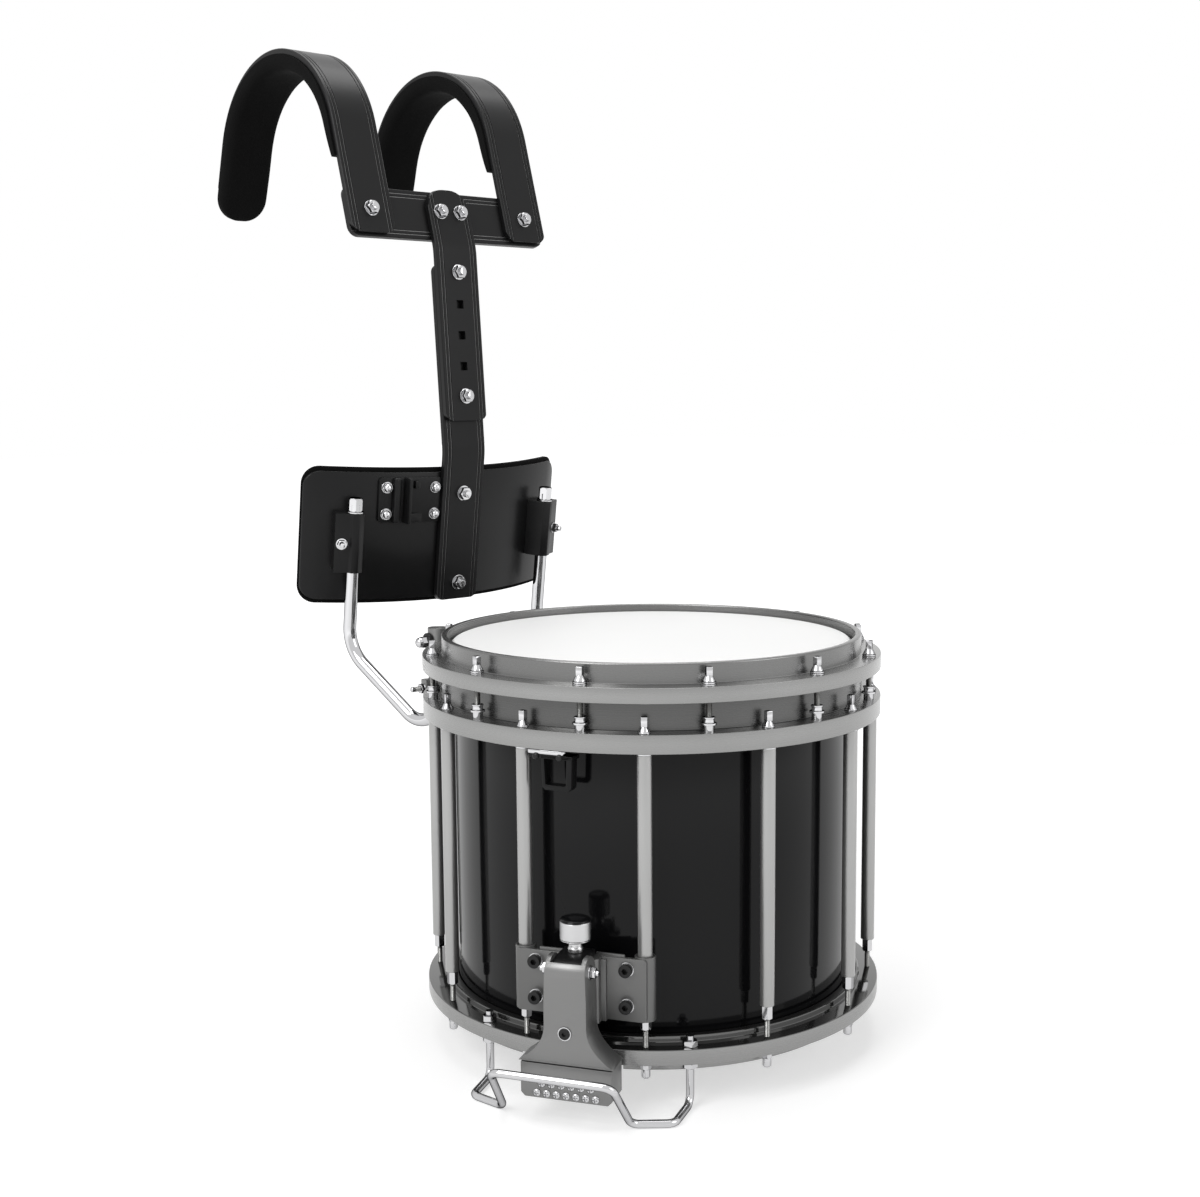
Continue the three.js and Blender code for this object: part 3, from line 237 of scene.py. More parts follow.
def surface(name, colour, worn, roughness, metallic=0, spread=0.05, grain=1500, depth=0.00001,
            patch=14, gloss=0.5, slant=1, lathe=False):
    """A finish for one slot, with patches between two colours, an uneven shine and a fine grain.

    The gloss is the strength of plain reflections, and the slant is how bright a metal stays in
    reflections along its surface. A lathe finish has its grain in fine rings.
    """
    material = bpy.data.materials.new(name)
    material.use_nodes = True
    tree = material.node_tree
    place = wired(tree, "ShaderNodeTexCoord").outputs["Object"]
    patches = wired(tree, "ShaderNodeTexNoise", {"Vector": place, "Scale": patch, "Detail": 3})
    tint = wired(
        tree, "ShaderNodeMix", {"Factor": patches, "A": (*colour, 1), "B": (*worn, 1)}, data_type="RGBA")
    if lathe:
        height = wired(tree, "ShaderNodeSeparateXYZ", {0: place}).outputs["Z"]
        place = wired(tree, "ShaderNodeCombineXYZ", {"X": axis_distance(tree, place), "Y": height})
    speckle = wired(tree, "ShaderNodeTexNoise", {"Vector": place, "Scale": grain, "Detail": 4})
    shine = wired(tree, "ShaderNodeMapRange", {
        "Value": speckle, "To Min": roughness - spread, "To Max": roughness + spread})
    relief = wired(tree, "ShaderNodeBump", {"Height": speckle, "Strength": 1, "Distance": depth})
    joined(tree, tree.nodes["Principled BSDF"], {
        "Base Color": tint.outputs["Result"], "Metallic": metallic, "Roughness": shine, "Normal": relief,
        "Specular IOR Level": gloss, "Specular Tint": (slant, slant, slant, 1)})
    return material


gloss_black = surface(
    "gloss black lacquer", (0.004, 0.004, 0.0045), (0.006, 0.006, 0.0065), 0.1, spread=0.03,
    grain=9, depth=0.0001, patch=5, gloss=0.17)
shell_shape = turned(
    [(177, -15), (177, 261.7), (171, 261.7), (171, -12.6), (173.8, -16.6), (175.4, -16.6)], soft=0.5)
piece("shell", shell_shape, gloss_black, "drum")


# Edge ring: one machined casting in satin grey that sits over the top of the shell. Its flange takes
# the bolts of the top hoop and the long rods, and its raised crown is the head's bearing edge.
def machined(name, height_ruled, edge, soft, level, polish=1):
    """Turned grey metal whose part inside a radius or above a height is painted darker, as shade and dark
    reflection that the lamps don't give, and can be made smoother.
    """
    metal = surface(name, (0.3, 0.3, 0.297), (0.27, 0.27, 0.267), 0.27, 0.88, lathe=True)
    tree = metal.node_tree
    shader = tree.nodes["Principled BSDF"]
    place = wired(tree, "ShaderNodeTexCoord").outputs["Object"]
    height = wired(tree, "ShaderNodeSeparateXYZ", {0: place}).outputs["Z"]
    # The Base Color factor paints shade; the Roughness factor is a real, smoother polish.
    for socket, painted_shade_or_polish in (("Base Color", level), ("Roughness", polish)):
        step = wired(tree, "ShaderNodeMapRange", {
            "Value": height if height_ruled else axis_distance(tree, place),
            "From Min": edge - soft, "From Max": edge + soft,
            "To Min": 1 if height_ruled else painted_shade_or_polish, "To Max": painted_shade_or_polish if height_ruled else 1})
        plain = shader.inputs[socket].links[0].from_socket
        joined(tree, shader, {
            socket: wired(tree, "ShaderNodeVectorMath", {0: plain, "Scale": step}, operation="SCALE")})
    return metal


# Painted shade: the neck under the top hoop's flange, inside the given radius, is darkened to 0.42 of its
# colour.
ring_metal_painted_shade = machined("turned ring metal with painted shade", False, 0.1885, 0.0008, 0.42)
edge_ring = turned([
    (204, 240.3), (204, 256), (187, 256), (187, 279.5), (178.2, 279.5), (178.2, 299.5), (175.8, 302.6),
    (174.2, 302.6), (171.5, 299.5), (171.5, 262), (177.4, 262), (177.4, 240.3)], soft=0.9)
piece("edge_ring", edge_ring, ring_metal_painted_shade, "drum")

# Bolt sleeves: twelve chromed threaded sleeves let into the ring's flange, each with a collar
# half way up and a rolled rim. The bolts of the top hoop screw down into them.
lug_count, lug_radius = 12, 196
lug_step = 2 * pi / lug_count


def tree_with(name, sockets):
    """An empty node tree with named inputs, and what its input node gives."""
    tree = bpy.data.node_groups.new(name, "GeometryNodeTree")
    tree.interface.new_socket("Geometry", in_out="OUTPUT", socket_type="NodeSocketGeometry")
    for label, kind in sockets.items():
        tree.interface.new_socket(label, in_out="INPUT", socket_type=f"NodeSocket{kind}")
    return tree, tree.nodes.new("NodeGroupInput").outputs


def finished_by(tree, copies, finish):
    """The end of every tree: the copies are made real and given their finish."""
    real = wired(tree, "GeometryNodeRealizeInstances", {"Geometry": copies})
    paint = wired(tree, "GeometryNodeSetMaterial", {"Geometry": real, "Material": finish})
    wired(tree, "NodeGroupOutput", {"Geometry": paint})


def copied_to(tree, given, place, **turn):
    """The end of a tree that sets copies of its source on as many points as its count."""
    points = wired(tree, "GeometryNodePoints", {"Count": given["Count"], "Position": place})
    source = wired(tree, "GeometryNodeObjectInfo", {"Object": given["Source"]}).outputs["Geometry"]
    copies = wired(tree, "GeometryNodeInstanceOnPoints", {"Points": points, "Instance": source, **turn})
    finished_by(tree, copies, given["Finish"])


def evaluated(obj):
    """The plain mesh that an object's modifier makes. The object itself is taken away."""
    graph = bpy.context.evaluated_depsgraph_get()
    mesh = bpy.data.meshes.new_from_object(obj.evaluated_get(graph), depsgraph=graph)
    bpy.data.objects.remove(obj)
    return mesh


def grown(tree, mesh, values):
    """The plain mesh that a node tree makes from a source mesh and the values of its other inputs."""
    source = placed("source", mesh)
    holder = placed("holder", bpy.data.meshes.new("holder"))
    step = holder.modifiers.new("grow", "NODES")
    step.node_group = tree
    for socket in tree.interface.items_tree:
        if socket.in_out == "INPUT":
            step[socket.identifier] = source if socket.name == "Source" else values[socket.name]
    result = evaluated(holder)
    bpy.data.objects.remove(source)
    return result


circle_tree, given = tree_with("pieces round the drum", {
    "Source": "Object", "Count": "Int", "Radius": "Float", "First angle": "Float", "Step angle": "Float",
    "Finish": "Material"})
circle_index = wired(circle_tree, "GeometryNodeInputIndex")
circle_angle = wired(
    circle_tree, "ShaderNodeMath", {0: circle_index, 1: given["Step angle"], 2: given["First angle"]},
    operation="MULTIPLY_ADD")
circle_back = wired(circle_tree, "ShaderNodeMath", {0: given["Radius"], 1: -1}, operation="MULTIPLY")
circle_arm = wired(circle_tree, "ShaderNodeCombineXYZ", {"Y": circle_back})
circle_place = wired(
    circle_tree, "ShaderNodeVectorRotate", {"Vector": circle_arm, "Angle": circle_angle},
    rotation_type="Z_AXIS")
circle_turn = wired(circle_tree, "ShaderNodeCombineXYZ", {"Z": circle_angle})
copied_to(circle_tree, given, circle_place, Rotation=circle_turn)


def ring_of(mesh, material, first=0.0):
    """Twelve copies of one small piece on the lugs' circle about the drum's axis."""
    return grown(circle_tree, mesh, {
        "Count": lug_count, "Radius": lug_radius, "First angle": first, "Step angle": lug_step,
        "Finish": material})


chrome = surface(
    "bright chrome", (0.6, 0.6, 0.61), (0.54, 0.54, 0.55), 0.06, 1, 0.02, 220, 0.000003,
    slant=0)
sleeve = turned([
    (0, 255.8), (4.3, 255.8), (4.3, 261.8), (6.1, 261.8), (6.1, 263.5), (4.3, 263.5), (4.3, 266.9),
    (4.9, 266.9), (4.9, 268.1), (3, 268.1), (3, 264), (0, 264)], 32, 0.3)
piece("bolt_sleeves", ring_of(sleeve, chrome), chrome, "drum", "edge_ring")


# Batter head: a white coated film stretched over the crown of the edge ring, with a moulded collar.
# Its edge is locked in a dark metal flesh hoop, which the top hoop presses down.
def disc(radius, low, high, soft=0, facets=32, hole=0):
    """A round bar or washer between two heights, solid or with a hole."""
    return turned([(hole, low), (radius, low), (radius, high), (hole, high)], facets, soft)


head_white = surface(
    "white coated film", (0.86, 0.86, 0.855), (0.82, 0.82, 0.815), 0.55, spread=0.06,
    grain=2600, depth=0.00002, patch=6)
flesh_metal = surface("dark flesh hoop", (0.02, 0.02, 0.02), (0.014, 0.014, 0.014), 0.4, 0.6)
flesh_inside, flesh_outside = 178.7, 184
batter_head = turned([
    (0, head_height), (175.9, head_height), (179.2, 300), (179.2, 283), (178.6, 283), (178.6, 299.8),
    (175.8, 302.9), (0, 302.9)], soft=1.2, steps=5)
piece("batter_head", batter_head, head_white, "drum")
batter_rim = disc(flesh_outside, 281.5, 291, 0.8, ring_facets, flesh_inside)
piece("batter_flesh_hoop", batter_rim, flesh_metal, "drum", "batter_head")

# Top hoop: a heavy machined hoop in the same satin grey. Its flange is drilled for the twelve bolts,
# and the round bead inside stands up past the head.
top_hoop = turned([
    (204, 280.2), (204, 293.2), (186.7, 293.2), (186.7, 309), (185.6, 309.8), (182.3, 309.8), (181.3, 309),
    (181.3, 292.4), (184.9, 291.6), (184.9, 280.2)], soft=1)
# Painted shade: the bead inside the flange is darkened to 0.66 of its colour.
hoop_metal_painted_shade = machined("turned hoop metal with painted shade", False, 0.1875, 0.0005, 0.66)
piece("top_hoop", top_hoop, hoop_metal_painted_shade, "drum")

# Snare head: a thin white film over the bottom edge of the shell, with its own dark flesh hoop, which
# the bottom hoop pulls up. The snare strands lie across it.
snare_head = turned([
    (0, -17.3), (175.7, -17.3), (178, -15.3), (178, 2), (177.4, 2), (177.4, -15), (175.4, -16.9),
    (0, -16.9)], soft=0.8)
piece("snare_head", snare_head, head_white, "drum")
snare_rim = disc(flesh_outside, -5.7, 3.8, 0.8, ring_facets, 177.5)
piece("snare_flesh_hoop", snare_rim, flesh_metal, "drum", "snare_head")

# Bottom hoop: the same heavy hoop turned over, with the bead pointing down. The bead is cut away at
# two gates where the snare strands pass, and the long rods and the wire guards go through the flange.
strainer_turn = -60
butt_turn = strainer_turn + 180
gate_half = 30


def prism(outline, low, high, axis="z"):
    """A straight block with the given outline, in millimetres, that runs along one axis."""
    place = {"z": lambda a, b, c: (a, b, c), "y": lambda a, b, c: (a, c, b), "x": lambda a, b, c: (c, a, b)}
    return skinned([[place[axis](a, b, c) for a, b in outline] for c in (low, high)])


def block(x0, x1, y0, y1, z0, z1):
    """A plain rectangular block between two corners, in millimetres."""
    return prism([(x0, y0), (x1, y0), (x1, y1), (x0, y1)], z0, z1)


def moved(mesh, matrix):
    """A copy of the mesh, moved or turned by a matrix."""
    result = mesh.copy()
    result.transform(matrix)
    return result


def shift(x, y, z):
    """A move by a distance along each axis."""
    return Matrix.Translation((x, y, z))


def spin(angle, axis="Z"):
    """A turn about one axis, in degrees."""
    return Matrix.Rotation(radians(angle), 4, axis)


def swung(mesh, angle):
    """The mesh turned round the drum's axis."""
    return moved(mesh, spin(angle))


def shifted(mesh, x, y, z):
    """The mesh moved by a distance along each axis."""
    return moved(mesh, shift(x, y, z))


def together(*meshes):
    """One mesh that holds several parts of a piece."""
    shape = bmesh.new()
    for mesh in meshes:
        shape.from_mesh(mesh)
    result = bpy.data.meshes.new("work")
    shape.to_mesh(result)
    shape.free()
    return result


def carved(mesh, tool, operation="DIFFERENCE"):
    """The mesh with the tool's shape cut out of it, or with only what lies inside the tool."""
    body, cutter = placed("body", mesh), placed("cutter", tool)
    step = body.modifiers.new("carve", "BOOLEAN")
    step.operation = operation
    step.solver = "EXACT"
    step.object = cutter
    result = evaluated(body)
    bpy.data.objects.remove(cutter)
    return result


gate_tool = block(-gate_half, gate_half, -192, -172, -40, -16.5)
bottom_hoop = carved(turned([
    (204, 0), (187.2, 0), (187.2, 5), (184.9, 5), (184.9, -6), (181.3, -6.8), (181.3, -23), (182.3, -23.8),
    (185.6, -23.8), (186.7, -23), (186.7, -13), (204, -13)], soft=1),
    together(swung(gate_tool, strainer_turn), swung(gate_tool, butt_turn)))
# Painted reflection: the top face is darkened to 0.45 of its colour for the black shell it mirrors; it is
# also made really smoother there.
lower_hoop_metal_painted_reflection = machined("turned lower hoop metal with painted reflection", True, -0.3039, 0.0003, 0.45, 0.3)
piece("bottom_hoop", bottom_hoop, lower_hoop_metal_painted_reflection, "drum")

# Tension bolts: twelve chromed square-headed bolts that pull the top hoop down. Each has a flared
# foot on two washers, and a dark threaded shank that goes into its sleeve.
bolt_nodes = [f"tension_bolt_{i + 1:02d}" for i in range(lug_count)]


def arc(middle, radius, start, end, steps):
    """Points on part of a circle, from one angle in degrees to another."""
    angles = [radians(start + (end - start) * i / steps) for i in range(steps + 1)]
    return [(middle[0] + radius * cos(a), middle[1] + radius * sin(a)) for a in angles]


def rounded_box(half_x, half_y, foot, steps=5, crown=None):
    """The outline of a rectangle with round corners, about its middle."""
    points = []
    for sx, sy, start in ((1, -1, -90), (1, 1, 0), (-1, 1, 90), (-1, -1, 180)):
        radius = crown if crown and sy == 1 else foot
        points += arc((sx * (half_x - radius), sy * (half_y - radius)), radius, start, start + 90, steps)
    return points


def softened(mesh, width, segments=2, above=35):
    """The mesh with a small round worked along its sharp edges."""
    shape = bmesh.new()
    shape.from_mesh(mesh)
    sharp = [e for e in shape.edges
             if len(e.link_faces) == 2 and e.calc_face_angle() > radians(above)]
    bmesh.ops.bevel(
        shape, geom=sharp, offset=width, segments=segments, affect="EDGES", profile=0.5,
        clamp_overlap=True)
    return as_mesh(shape)


def square_head(low, high):
    """The square head of a tension bolt or rod, for the drum key."""
    return softened(prism(rounded_box(2.6, 2.6, 0.5, 3), low, high), 0.4)


def threaded(radius, low, high):
    """A screw thread drawn as close rings, one in each millimetre between two heights."""
    outline = [(0, low)]
    for k in range(int(high - low)):
        outline += [(radius - 0.35, low + k), (radius, low + k + 0.5)]
    return turned(outline + [(radius - 0.35, high), (0, high)], 20)


bolt_foot = turned([
    (0, 293.3), (5.8, 293.3), (5.8, 294.3), (4.4, 294.4), (4.4, 294.8), (5.8, 294.9), (5.8, 295.9),
    (4.2, 296), (4.2, 296.4), (5.1, 296.5), (4.8, 297.4), (2.9, 301), (0, 301)], 32, 0.15)
bolt_shape = together(bolt_foot, square_head(300.6, 308))
piece("tension_bolts", ring_of(bolt_shape, chrome), chrome, "drum", *bolt_nodes)
dark_steel = surface(
    "dark threaded steel", (0.33, 0.33, 0.32), (0.22, 0.22, 0.215), 0.3, 0.95, 0.08, 600,
    0.00002)
bolt_shank = threaded(2.6, 258.3, 280.3)
piece("bolt_shanks", ring_of(bolt_shank, dark_steel), dark_steel, "drum", *bolt_nodes)

# Long tension rods: twelve grey tubes stand between the edge ring and the bottom hoop, halfway
# between the bolts. A rod runs through each, with a square head on the ring and nuts at the foot.
half_step = lug_step / 2
column_nodes = [f"tension_tube_{i + 1:02d}" for i in range(lug_count)]
tube_grey = surface(
    "satin grey tube", (0.42, 0.42, 0.416), (0.375, 0.375, 0.37), 0.3, 0.75, grain=500)
tube = disc(6, 26.2, 239, 0.5, 40)
piece("tension_tubes", ring_of(tube, tube_grey, half_step), tube_grey, "drum", *column_nodes)


def six_sided(across):
    """The outline of a hexagon, from its width across the flats."""
    return arc((0, 0), across / sqrt(3), 0, 300, 5)


def hexagon(across, low, high, chamfer=0.7):
    """A six-sided nut with its corners turned down at both ends."""
    flat, corner = across / 2, across / sqrt(3)
    trim = turned([(0, low), (flat, low), (corner, low + chamfer), (corner, high - chamfer), (flat, high),
                   (0, high)], 36)
    return carved(prism(six_sided(across), low, high), trim, "INTERSECT")


column_fittings = together(
    disc(6.5, 239, 240.2, 0.25, 40), hexagon(8.2, 15, 26.1),
    disc(5.3, -14.3, -13.1, 0.25), hexagon(7.6, -18.2, -14.2),
    turned([(0, -25.8), (2.5, -25.8), (3.5, -24.8), (3.5, -18), (0, -18)], 24, 0.4),
    turned([(0, 256.1), (5.2, 256.1), (5.2, 257.2), (4.6, 257.9), (2.9, 261.3), (0, 261.3)], 32, 0.25),
    square_head(261, 269.2))
piece("rod_heads_and_nuts", ring_of(column_fittings, chrome, half_step), chrome, "drum", *column_nodes)
rod_thread = threaded(2.4, -0.2, 15.2)
piece("rod_threads", ring_of(rod_thread, dark_steel, half_step), dark_steel, "drum", *column_nodes)

# Strainer plate: a dull grey casting clamped to two of the long tubes. Two flat wings join the clamps
# to a square channel in the middle, and four black socket screws close the clamps.
tube_u, tube_v = 50.73, 189.32
tube_bore = 6.35
wing_back, wing_front, channel_front = 195.9, 200, 211.7
clamp_low, clamp_high = 23, 76
channel_low = clamp_low - 0.3
channel_half, channel_bevel = 18, 3
clamp_ring = shifted(disc(8.5, clamp_low, clamp_high, 0.7, 48, tube_bore), tube_u, -tube_v, 0)
bore_tool = shifted(disc(tube_bore, 0, 100), tube_u, -tube_v, 0)
wing_outline = rounded_box(tube_u + 4, (clamp_high - clamp_low) / 2 - 0.6, 3)
wings = shifted(softened(prism(wing_outline, -wing_front, -wing_back, "y"), 0.5), 0, 0,
                (clamp_low + clamp_high) / 2)
wings = carved(wings, together(bore_tool, shifted(bore_tool, -2 * tube_u, 0, 0)))
channel = softened(prism([
    (-channel_half, -wing_back - 1), (channel_half, -wing_back - 1),
    (channel_half, -channel_front + channel_bevel), (channel_half - channel_bevel, -channel_front),
    (-channel_half + channel_bevel, -channel_front), (-channel_half, -channel_front + channel_bevel)],
    channel_low, clamp_high), 0.6)
channel_lip = softened(block(-22, 22, -203, -wing_front + 1, channel_low, clamp_high - 2), 0.8)
plate_tabs = [softened(block(low, low + 24, -wing_back + 0.5, -wing_back - 1.5, 70, 77.5), 0.5)
              for low in (12, -36)]
plate_shape = together(
    clamp_ring, shifted(clamp_ring, -2 * tube_u, 0, 0), wings, channel, channel_lip, *plate_tabs)
dull_grey = surface(
    "dull grey casting", (0.17, 0.17, 0.168), (0.14, 0.14, 0.138), 0.4, 0.7, grain=1400,
    depth=0.000015)
black_steel = surface(
    "blackened screw steel", (0.008, 0.008, 0.0083), (0.012, 0.012, 0.0123), 0.3,
    spread=0.08, grain=900, gloss=0.3)


def socket_screw(head_radius, height, socket):
    """A socket screw's head, standing on the plane at zero, with its hexagon socket."""
    head = disc(head_radius, 0, height, 0.6, 36)
    return carved(head, prism(six_sided(socket), height * 0.35, height + 1))


def facing_out(mesh, u, v, z):
    """A small piece that stands on the plane at zero, turned to face away from the drum."""
    return moved(mesh, shift(u, -v, z) @ spin(90, "X"))


def at_clamps(mesh):
    """Four copies of a small piece, one at each screw of the two clamps."""
    return together(*[
        facing_out(mesh, side * 38.5, wing_front - 0.2, z) for side in (-1, 1) for z in (36.5, 66.6)])


clamp_screws = at_clamps(socket_screw(5.4, 6.2, 4.6))
clamp_washers = at_clamps(disc(6, 0, 1, 0.3, 36))


def clamped_plate(side, turn):
    """One side's casting with its screws and washers."""
    plate = f"{side}_plate"
    piece(plate, swung(plate_shape, turn), dull_grey, "drum")
    piece(f"{side}_screws", swung(clamp_screws, turn), black_steel, "drum", plate)
    piece(f"{side}_washers", swung(clamp_washers, turn), chrome, "drum", plate)


clamped_plate("strainer", strainer_turn)

# Strainer head: a black moulded block on top of the channel, which carries the lever's pivot and the
# adjusting knob. It is screwed down to the casting.
pivot_v, pivot_z = 227.02, 71
satin_black = surface(
    "satin black finish", (0.0062, 0.0062, 0.0065), (0.0082, 0.0082, 0.0085), 0.33,
    gloss=0.19)
head_side = [(-200, 76.3), (-200, 80.2), (-201.5, 81.7), (-pivot_v + 8, 81.7)]
head_side += arc((-pivot_v, pivot_z), 9.2, 105, 270, 22) + [(-212, 61.8), (-212, 76.3)]
head_block = softened(prism(head_side, -12.4, 12.4, "x"), 0.5)
piece("strainer_head", swung(head_block, strainer_turn), satin_black, "drum")

# Throw lever: a grey die-cast lever hollow at the back, that flares to a wide lip at the bottom. It
# turns on a chromed pin through the head block and swings out to let the snares off.
lever_front, lever_inside, lever_back = 240.02, 236.52, 213.02
lever_half_top, lever_half_mid, lever_half_low, lever_wall = 16.4, 17.5, 39.2, 3.5
lever_low, lever_top = -1.4, 83.5
lever_screw_z = 24.3


def lever_half_at(z):
    """Half the lever's width at a height."""
    if z > 50:
        return lever_half_mid + (lever_half_top - lever_half_mid) * (z - 50) / 33.5
    fall = min(1, max(0, (30 - z) / 31.4))
    return lever_half_mid + (lever_half_low - lever_half_mid) * fall ** 2.3


def lever_outline(inset, reach):
    """The lever seen from the front, as (u, z) points, made smaller all round by the inset."""
    heights = [lever_top + reach] + [lever_top - 84.9 * k / 48 for k in range(49)] + [lever_low - reach]
    half = [(lever_half_at(min(lever_top, max(lever_low, z))) - inset, z) for z in heights]
    return half + [(-u, z) for u, z in reversed(half)]


def facing_side(mesh, u, v, z, side):
    """A small piece that stands on the plane at zero, turned to face along the shell."""
    return moved(mesh, shift(u, -v, z) @ spin(side * 90, "Y"))


def on_lever(name, mesh, material):
    """A piece that rides the throw lever."""
    piece(name, swung(mesh, strainer_turn), material, "throw_lever", "throw_lever")


lever_side = prism(
    [(-lever_back, lever_low), (-lever_front, lever_low), (-lever_front, pivot_z)]
    + arc((-pivot_v, pivot_z), 12.98, 180, 0, 28) + [(-lever_back, pivot_z - 12.5)], -50, 50, "x")
lever_shape = carved(prism(lever_outline(0, 0), -lever_front, -lever_back, "y"), lever_side, "INTERSECT")
lever_hollow = prism(lever_outline(lever_wall, 3), -lever_inside, -lever_back + 3, "y")
lever_shape = softened(carved(lever_shape, lever_hollow), 0.45, 2, 40)
lever_shape = carved(lever_shape, block(-12.9, 12.9, -lever_inside, 0, 58.5, 90))
satin_grey = surface(
    "satin grey casting", (0.235, 0.235, 0.233), (0.205, 0.205, 0.203), 0.36, 0.75,
    grain=1400, depth=0.000012)
on_lever("throw_lever", lever_shape, satin_grey)
pivot_cap = together(disc(5.6, -0.3, 1.2, 0.3), hexagon(8, 1, 5.4, 0.6), disc(2.6, 5, 7.8, 0.5, 28))
lever_metal = together(
    facing_side(pivot_cap, 16.5, pivot_v, pivot_z, 1), facing_side(pivot_cap, -16.5, pivot_v, pivot_z, -1),
    facing_side(disc(2.9, -16, 16), 0, pivot_v, pivot_z, 1))
on_lever("lever_pivot", lever_metal, chrome)
lever_screw = facing_out(socket_screw(4.6, 2.6, 3.4), 0, lever_front - 0.3, lever_screw_z)
on_lever("lever_screw", lever_screw, black_steel)
lever_rim = disc(5.6, -0.3, 1.3, 0.3, 36, 4.4)
on_lever("lever_screw_rim", facing_out(lever_rim, 0, lever_front, lever_screw_z), chrome)

# Adjusting knob: a chromed brass knob with a knurled grip and a plain neck. It turns on a screw in
# the head block and raises or lowers the snares by a hair.
knob_v = 212.52
grip_low, grip_high = 92.5, 107.5


def knurled(radius, low, high, ribs, rows):
    """A grip cut all round with crossed grooves, between two heights."""
    columns = ribs * 4
    rings = []
    for j in range(rows + 1):
        edge = 0.5 if j in (0, rows) else 0
        ring = []
        for i in range(columns):
            a = 2 * pi * i / columns
            across = cos(ribs * a + pi * j / 2) + cos(ribs * a - pi * j / 2)
            r = radius - edge - 0.44 + 0.22 * across
            ring.append((r * cos(a), r * sin(a), low + (high - low) * j / rows))
        rings.append(ring)
    return skinned(rings)


def dome(radius, base, rise, steps=8):
    """(radius, height) points up over a dome, from its rim to its top."""
    slopes = [pi / 2 * k / steps for k in range(steps)]
    return [(radius * cos(a), base + rise * sin(a)) for a in slopes] + [(0, base + rise)]


knob_body = together(
    turned([(0, 78), (3, 78), (3, 82), (6.35, 82), (6.35, 85.4), (5.6, 86.4), (5.6, 91.3), (0, 91.3)],
           48, 0.4),
    turned([(0, 91.2), (11.4, 91.2), (12.2, 92), (12.2, 92.6), (0, 92.6)], 64, 0.3),
    knurled(12.6, grip_low, grip_high, 36, 26))
knob_chrome = surface(
    "pale knurled chrome", (0.6, 0.6, 0.605), (0.54, 0.54, 0.545), 0.24, 0.95, grain=300,
    depth=0.000004, slant=0)
piece("adjuster_knob", swung(shifted(knob_body, 0, -knob_v, 0), strainer_turn), knob_chrome, "adjuster_knob",
      crease=50)
knob_top = turned([(0, 107.3), (12.3, 107.3), (12.3, 107.9)] + dome(12.1, 108.2, 3, 10), 64)
piece("knob_cap", swung(shifted(knob_top, 0, -knob_v, 0), strainer_turn), gloss_black, "adjuster_knob",
      "adjuster_knob", slot="satin_black")

# Snare carriage: a grey block on a post that slides on the channel. The strands are held under it,
# and a row of small chromed screws along its front sets the pull of each pair.
box_back, box_front, box_half = 212.9, 238.9, 38
box_top, box_low, box_cut = -3, -31.5, 3.5
screw_step = 8.133


def snare_box(post_half, post_top):
    """The block that holds one end of the snares, with its post."""
    outline = [
        (-box_half, box_top), (-box_half, box_low + box_cut), (-box_half + box_cut, box_low),
        (box_half - box_cut, box_low), (box_half, box_low + box_cut), (box_half, box_top)]
    body = softened(prism(outline, -box_front, -box_back, "y"), 0.7)
    return together(body, softened(block(-post_half, post_half, -221, -212, -12, post_top), 0.5))


row_tree, given = tree_with("pieces in a row", {
    "Source": "Object", "Count": "Int", "Step": "Vector", "Start": "Vector", "Finish": "Material"})
row_index = wired(row_tree, "GeometryNodeInputIndex")
row_reach = wired(
    row_tree, "ShaderNodeVectorMath", {0: given["Step"], "Scale": row_index}, operation="SCALE")
copied_to(row_tree, given, wired(row_tree, "ShaderNodeVectorMath", {0: row_reach, 1: given["Start"]}))


def row_of(mesh, material, count, start, step):
    """Copies of one small piece in a straight row."""
    return grown(row_tree, mesh, {"Count": count, "Step": step, "Start": start, "Finish": material})


box_screw = turned([(0, -0.3), (3.2, -0.3), (3.2, 0.8), (2.1, 1.8), (0, 2)], 24, 0.3)
for long, wide in ((2, 0.45), (0.45, 2)):
    box_screw = carved(box_screw, block(-long, long, -wide, wide, 0.9, 3))
box_screw = facing_out(box_screw, 0, box_front - 0.2, 0)
box_screws = together(
    row_of(box_screw, chrome, 7, (-24.4, 0, -27.2), (screw_step, 0, 0)),
    row_of(box_screw, chrome, 6, (-20.3, 0, -19.5), (screw_step, 0, 0)))
piece("snare_carriage", swung(snare_box(8, 52), strainer_turn), satin_grey, "snare_carriage")
piece("carriage_screws", swung(box_screws, strainer_turn), chrome, "snare_carriage", "snare_carriage")

# Snares: twelve straight coated strands that run under the snare head from the carriage to the butt
# side, gripped at both ends by a small bar.
steel_wire = surface(
    "bright snare wire", (0.62, 0.62, 0.6), (0.5, 0.5, 0.48), 0.28, 1, 0.06, 800)
strand_z, strand_end, strand_gap = -18.4, 212.6, 4
bar_half_depth = 3.5
strand = moved(disc(0.75, -209, 209, 0.2, 12), spin(90, "X"))
strands = row_of(strand, steel_wire, 12, (-22, 0, strand_z), (strand_gap, 0, 0))
end_bar = softened(
    block(-24, 24, -bar_half_depth, bar_half_depth, strand_z - 3, strand_z + 1.4), 0.5)
snares = together(
    strands, *[shifted(end_bar, 0, end * (strand_end - bar_half_depth), 0) for end in (1, -1)])
piece("snare_wires", swung(snares, strainer_turn), steel_wire, "snare_wires")

# Butt side: the same clamped casting and block on the far side of the drum, without a lever. It holds
# the other ends of the snares and doesn't move.
clamped_plate("butt", butt_turn)
piece("butt_carriage", swung(snare_box(12, 66), butt_turn), satin_grey, "drum")
piece("butt_box_screws", swung(box_screws, butt_turn), chrome, "drum", "butt_carriage")

# Wire guards: two bent chromed rods under the drum that shield the snare boxes and are the drum's
# feet. Each end goes up through the bottom hoop and is held by a nut above and below it.
guard_turn = -61
guard_wire, guard_bend = 3.25, 9
guard_half, guard_out, guard_low = 87.2, 175.53, -48.35


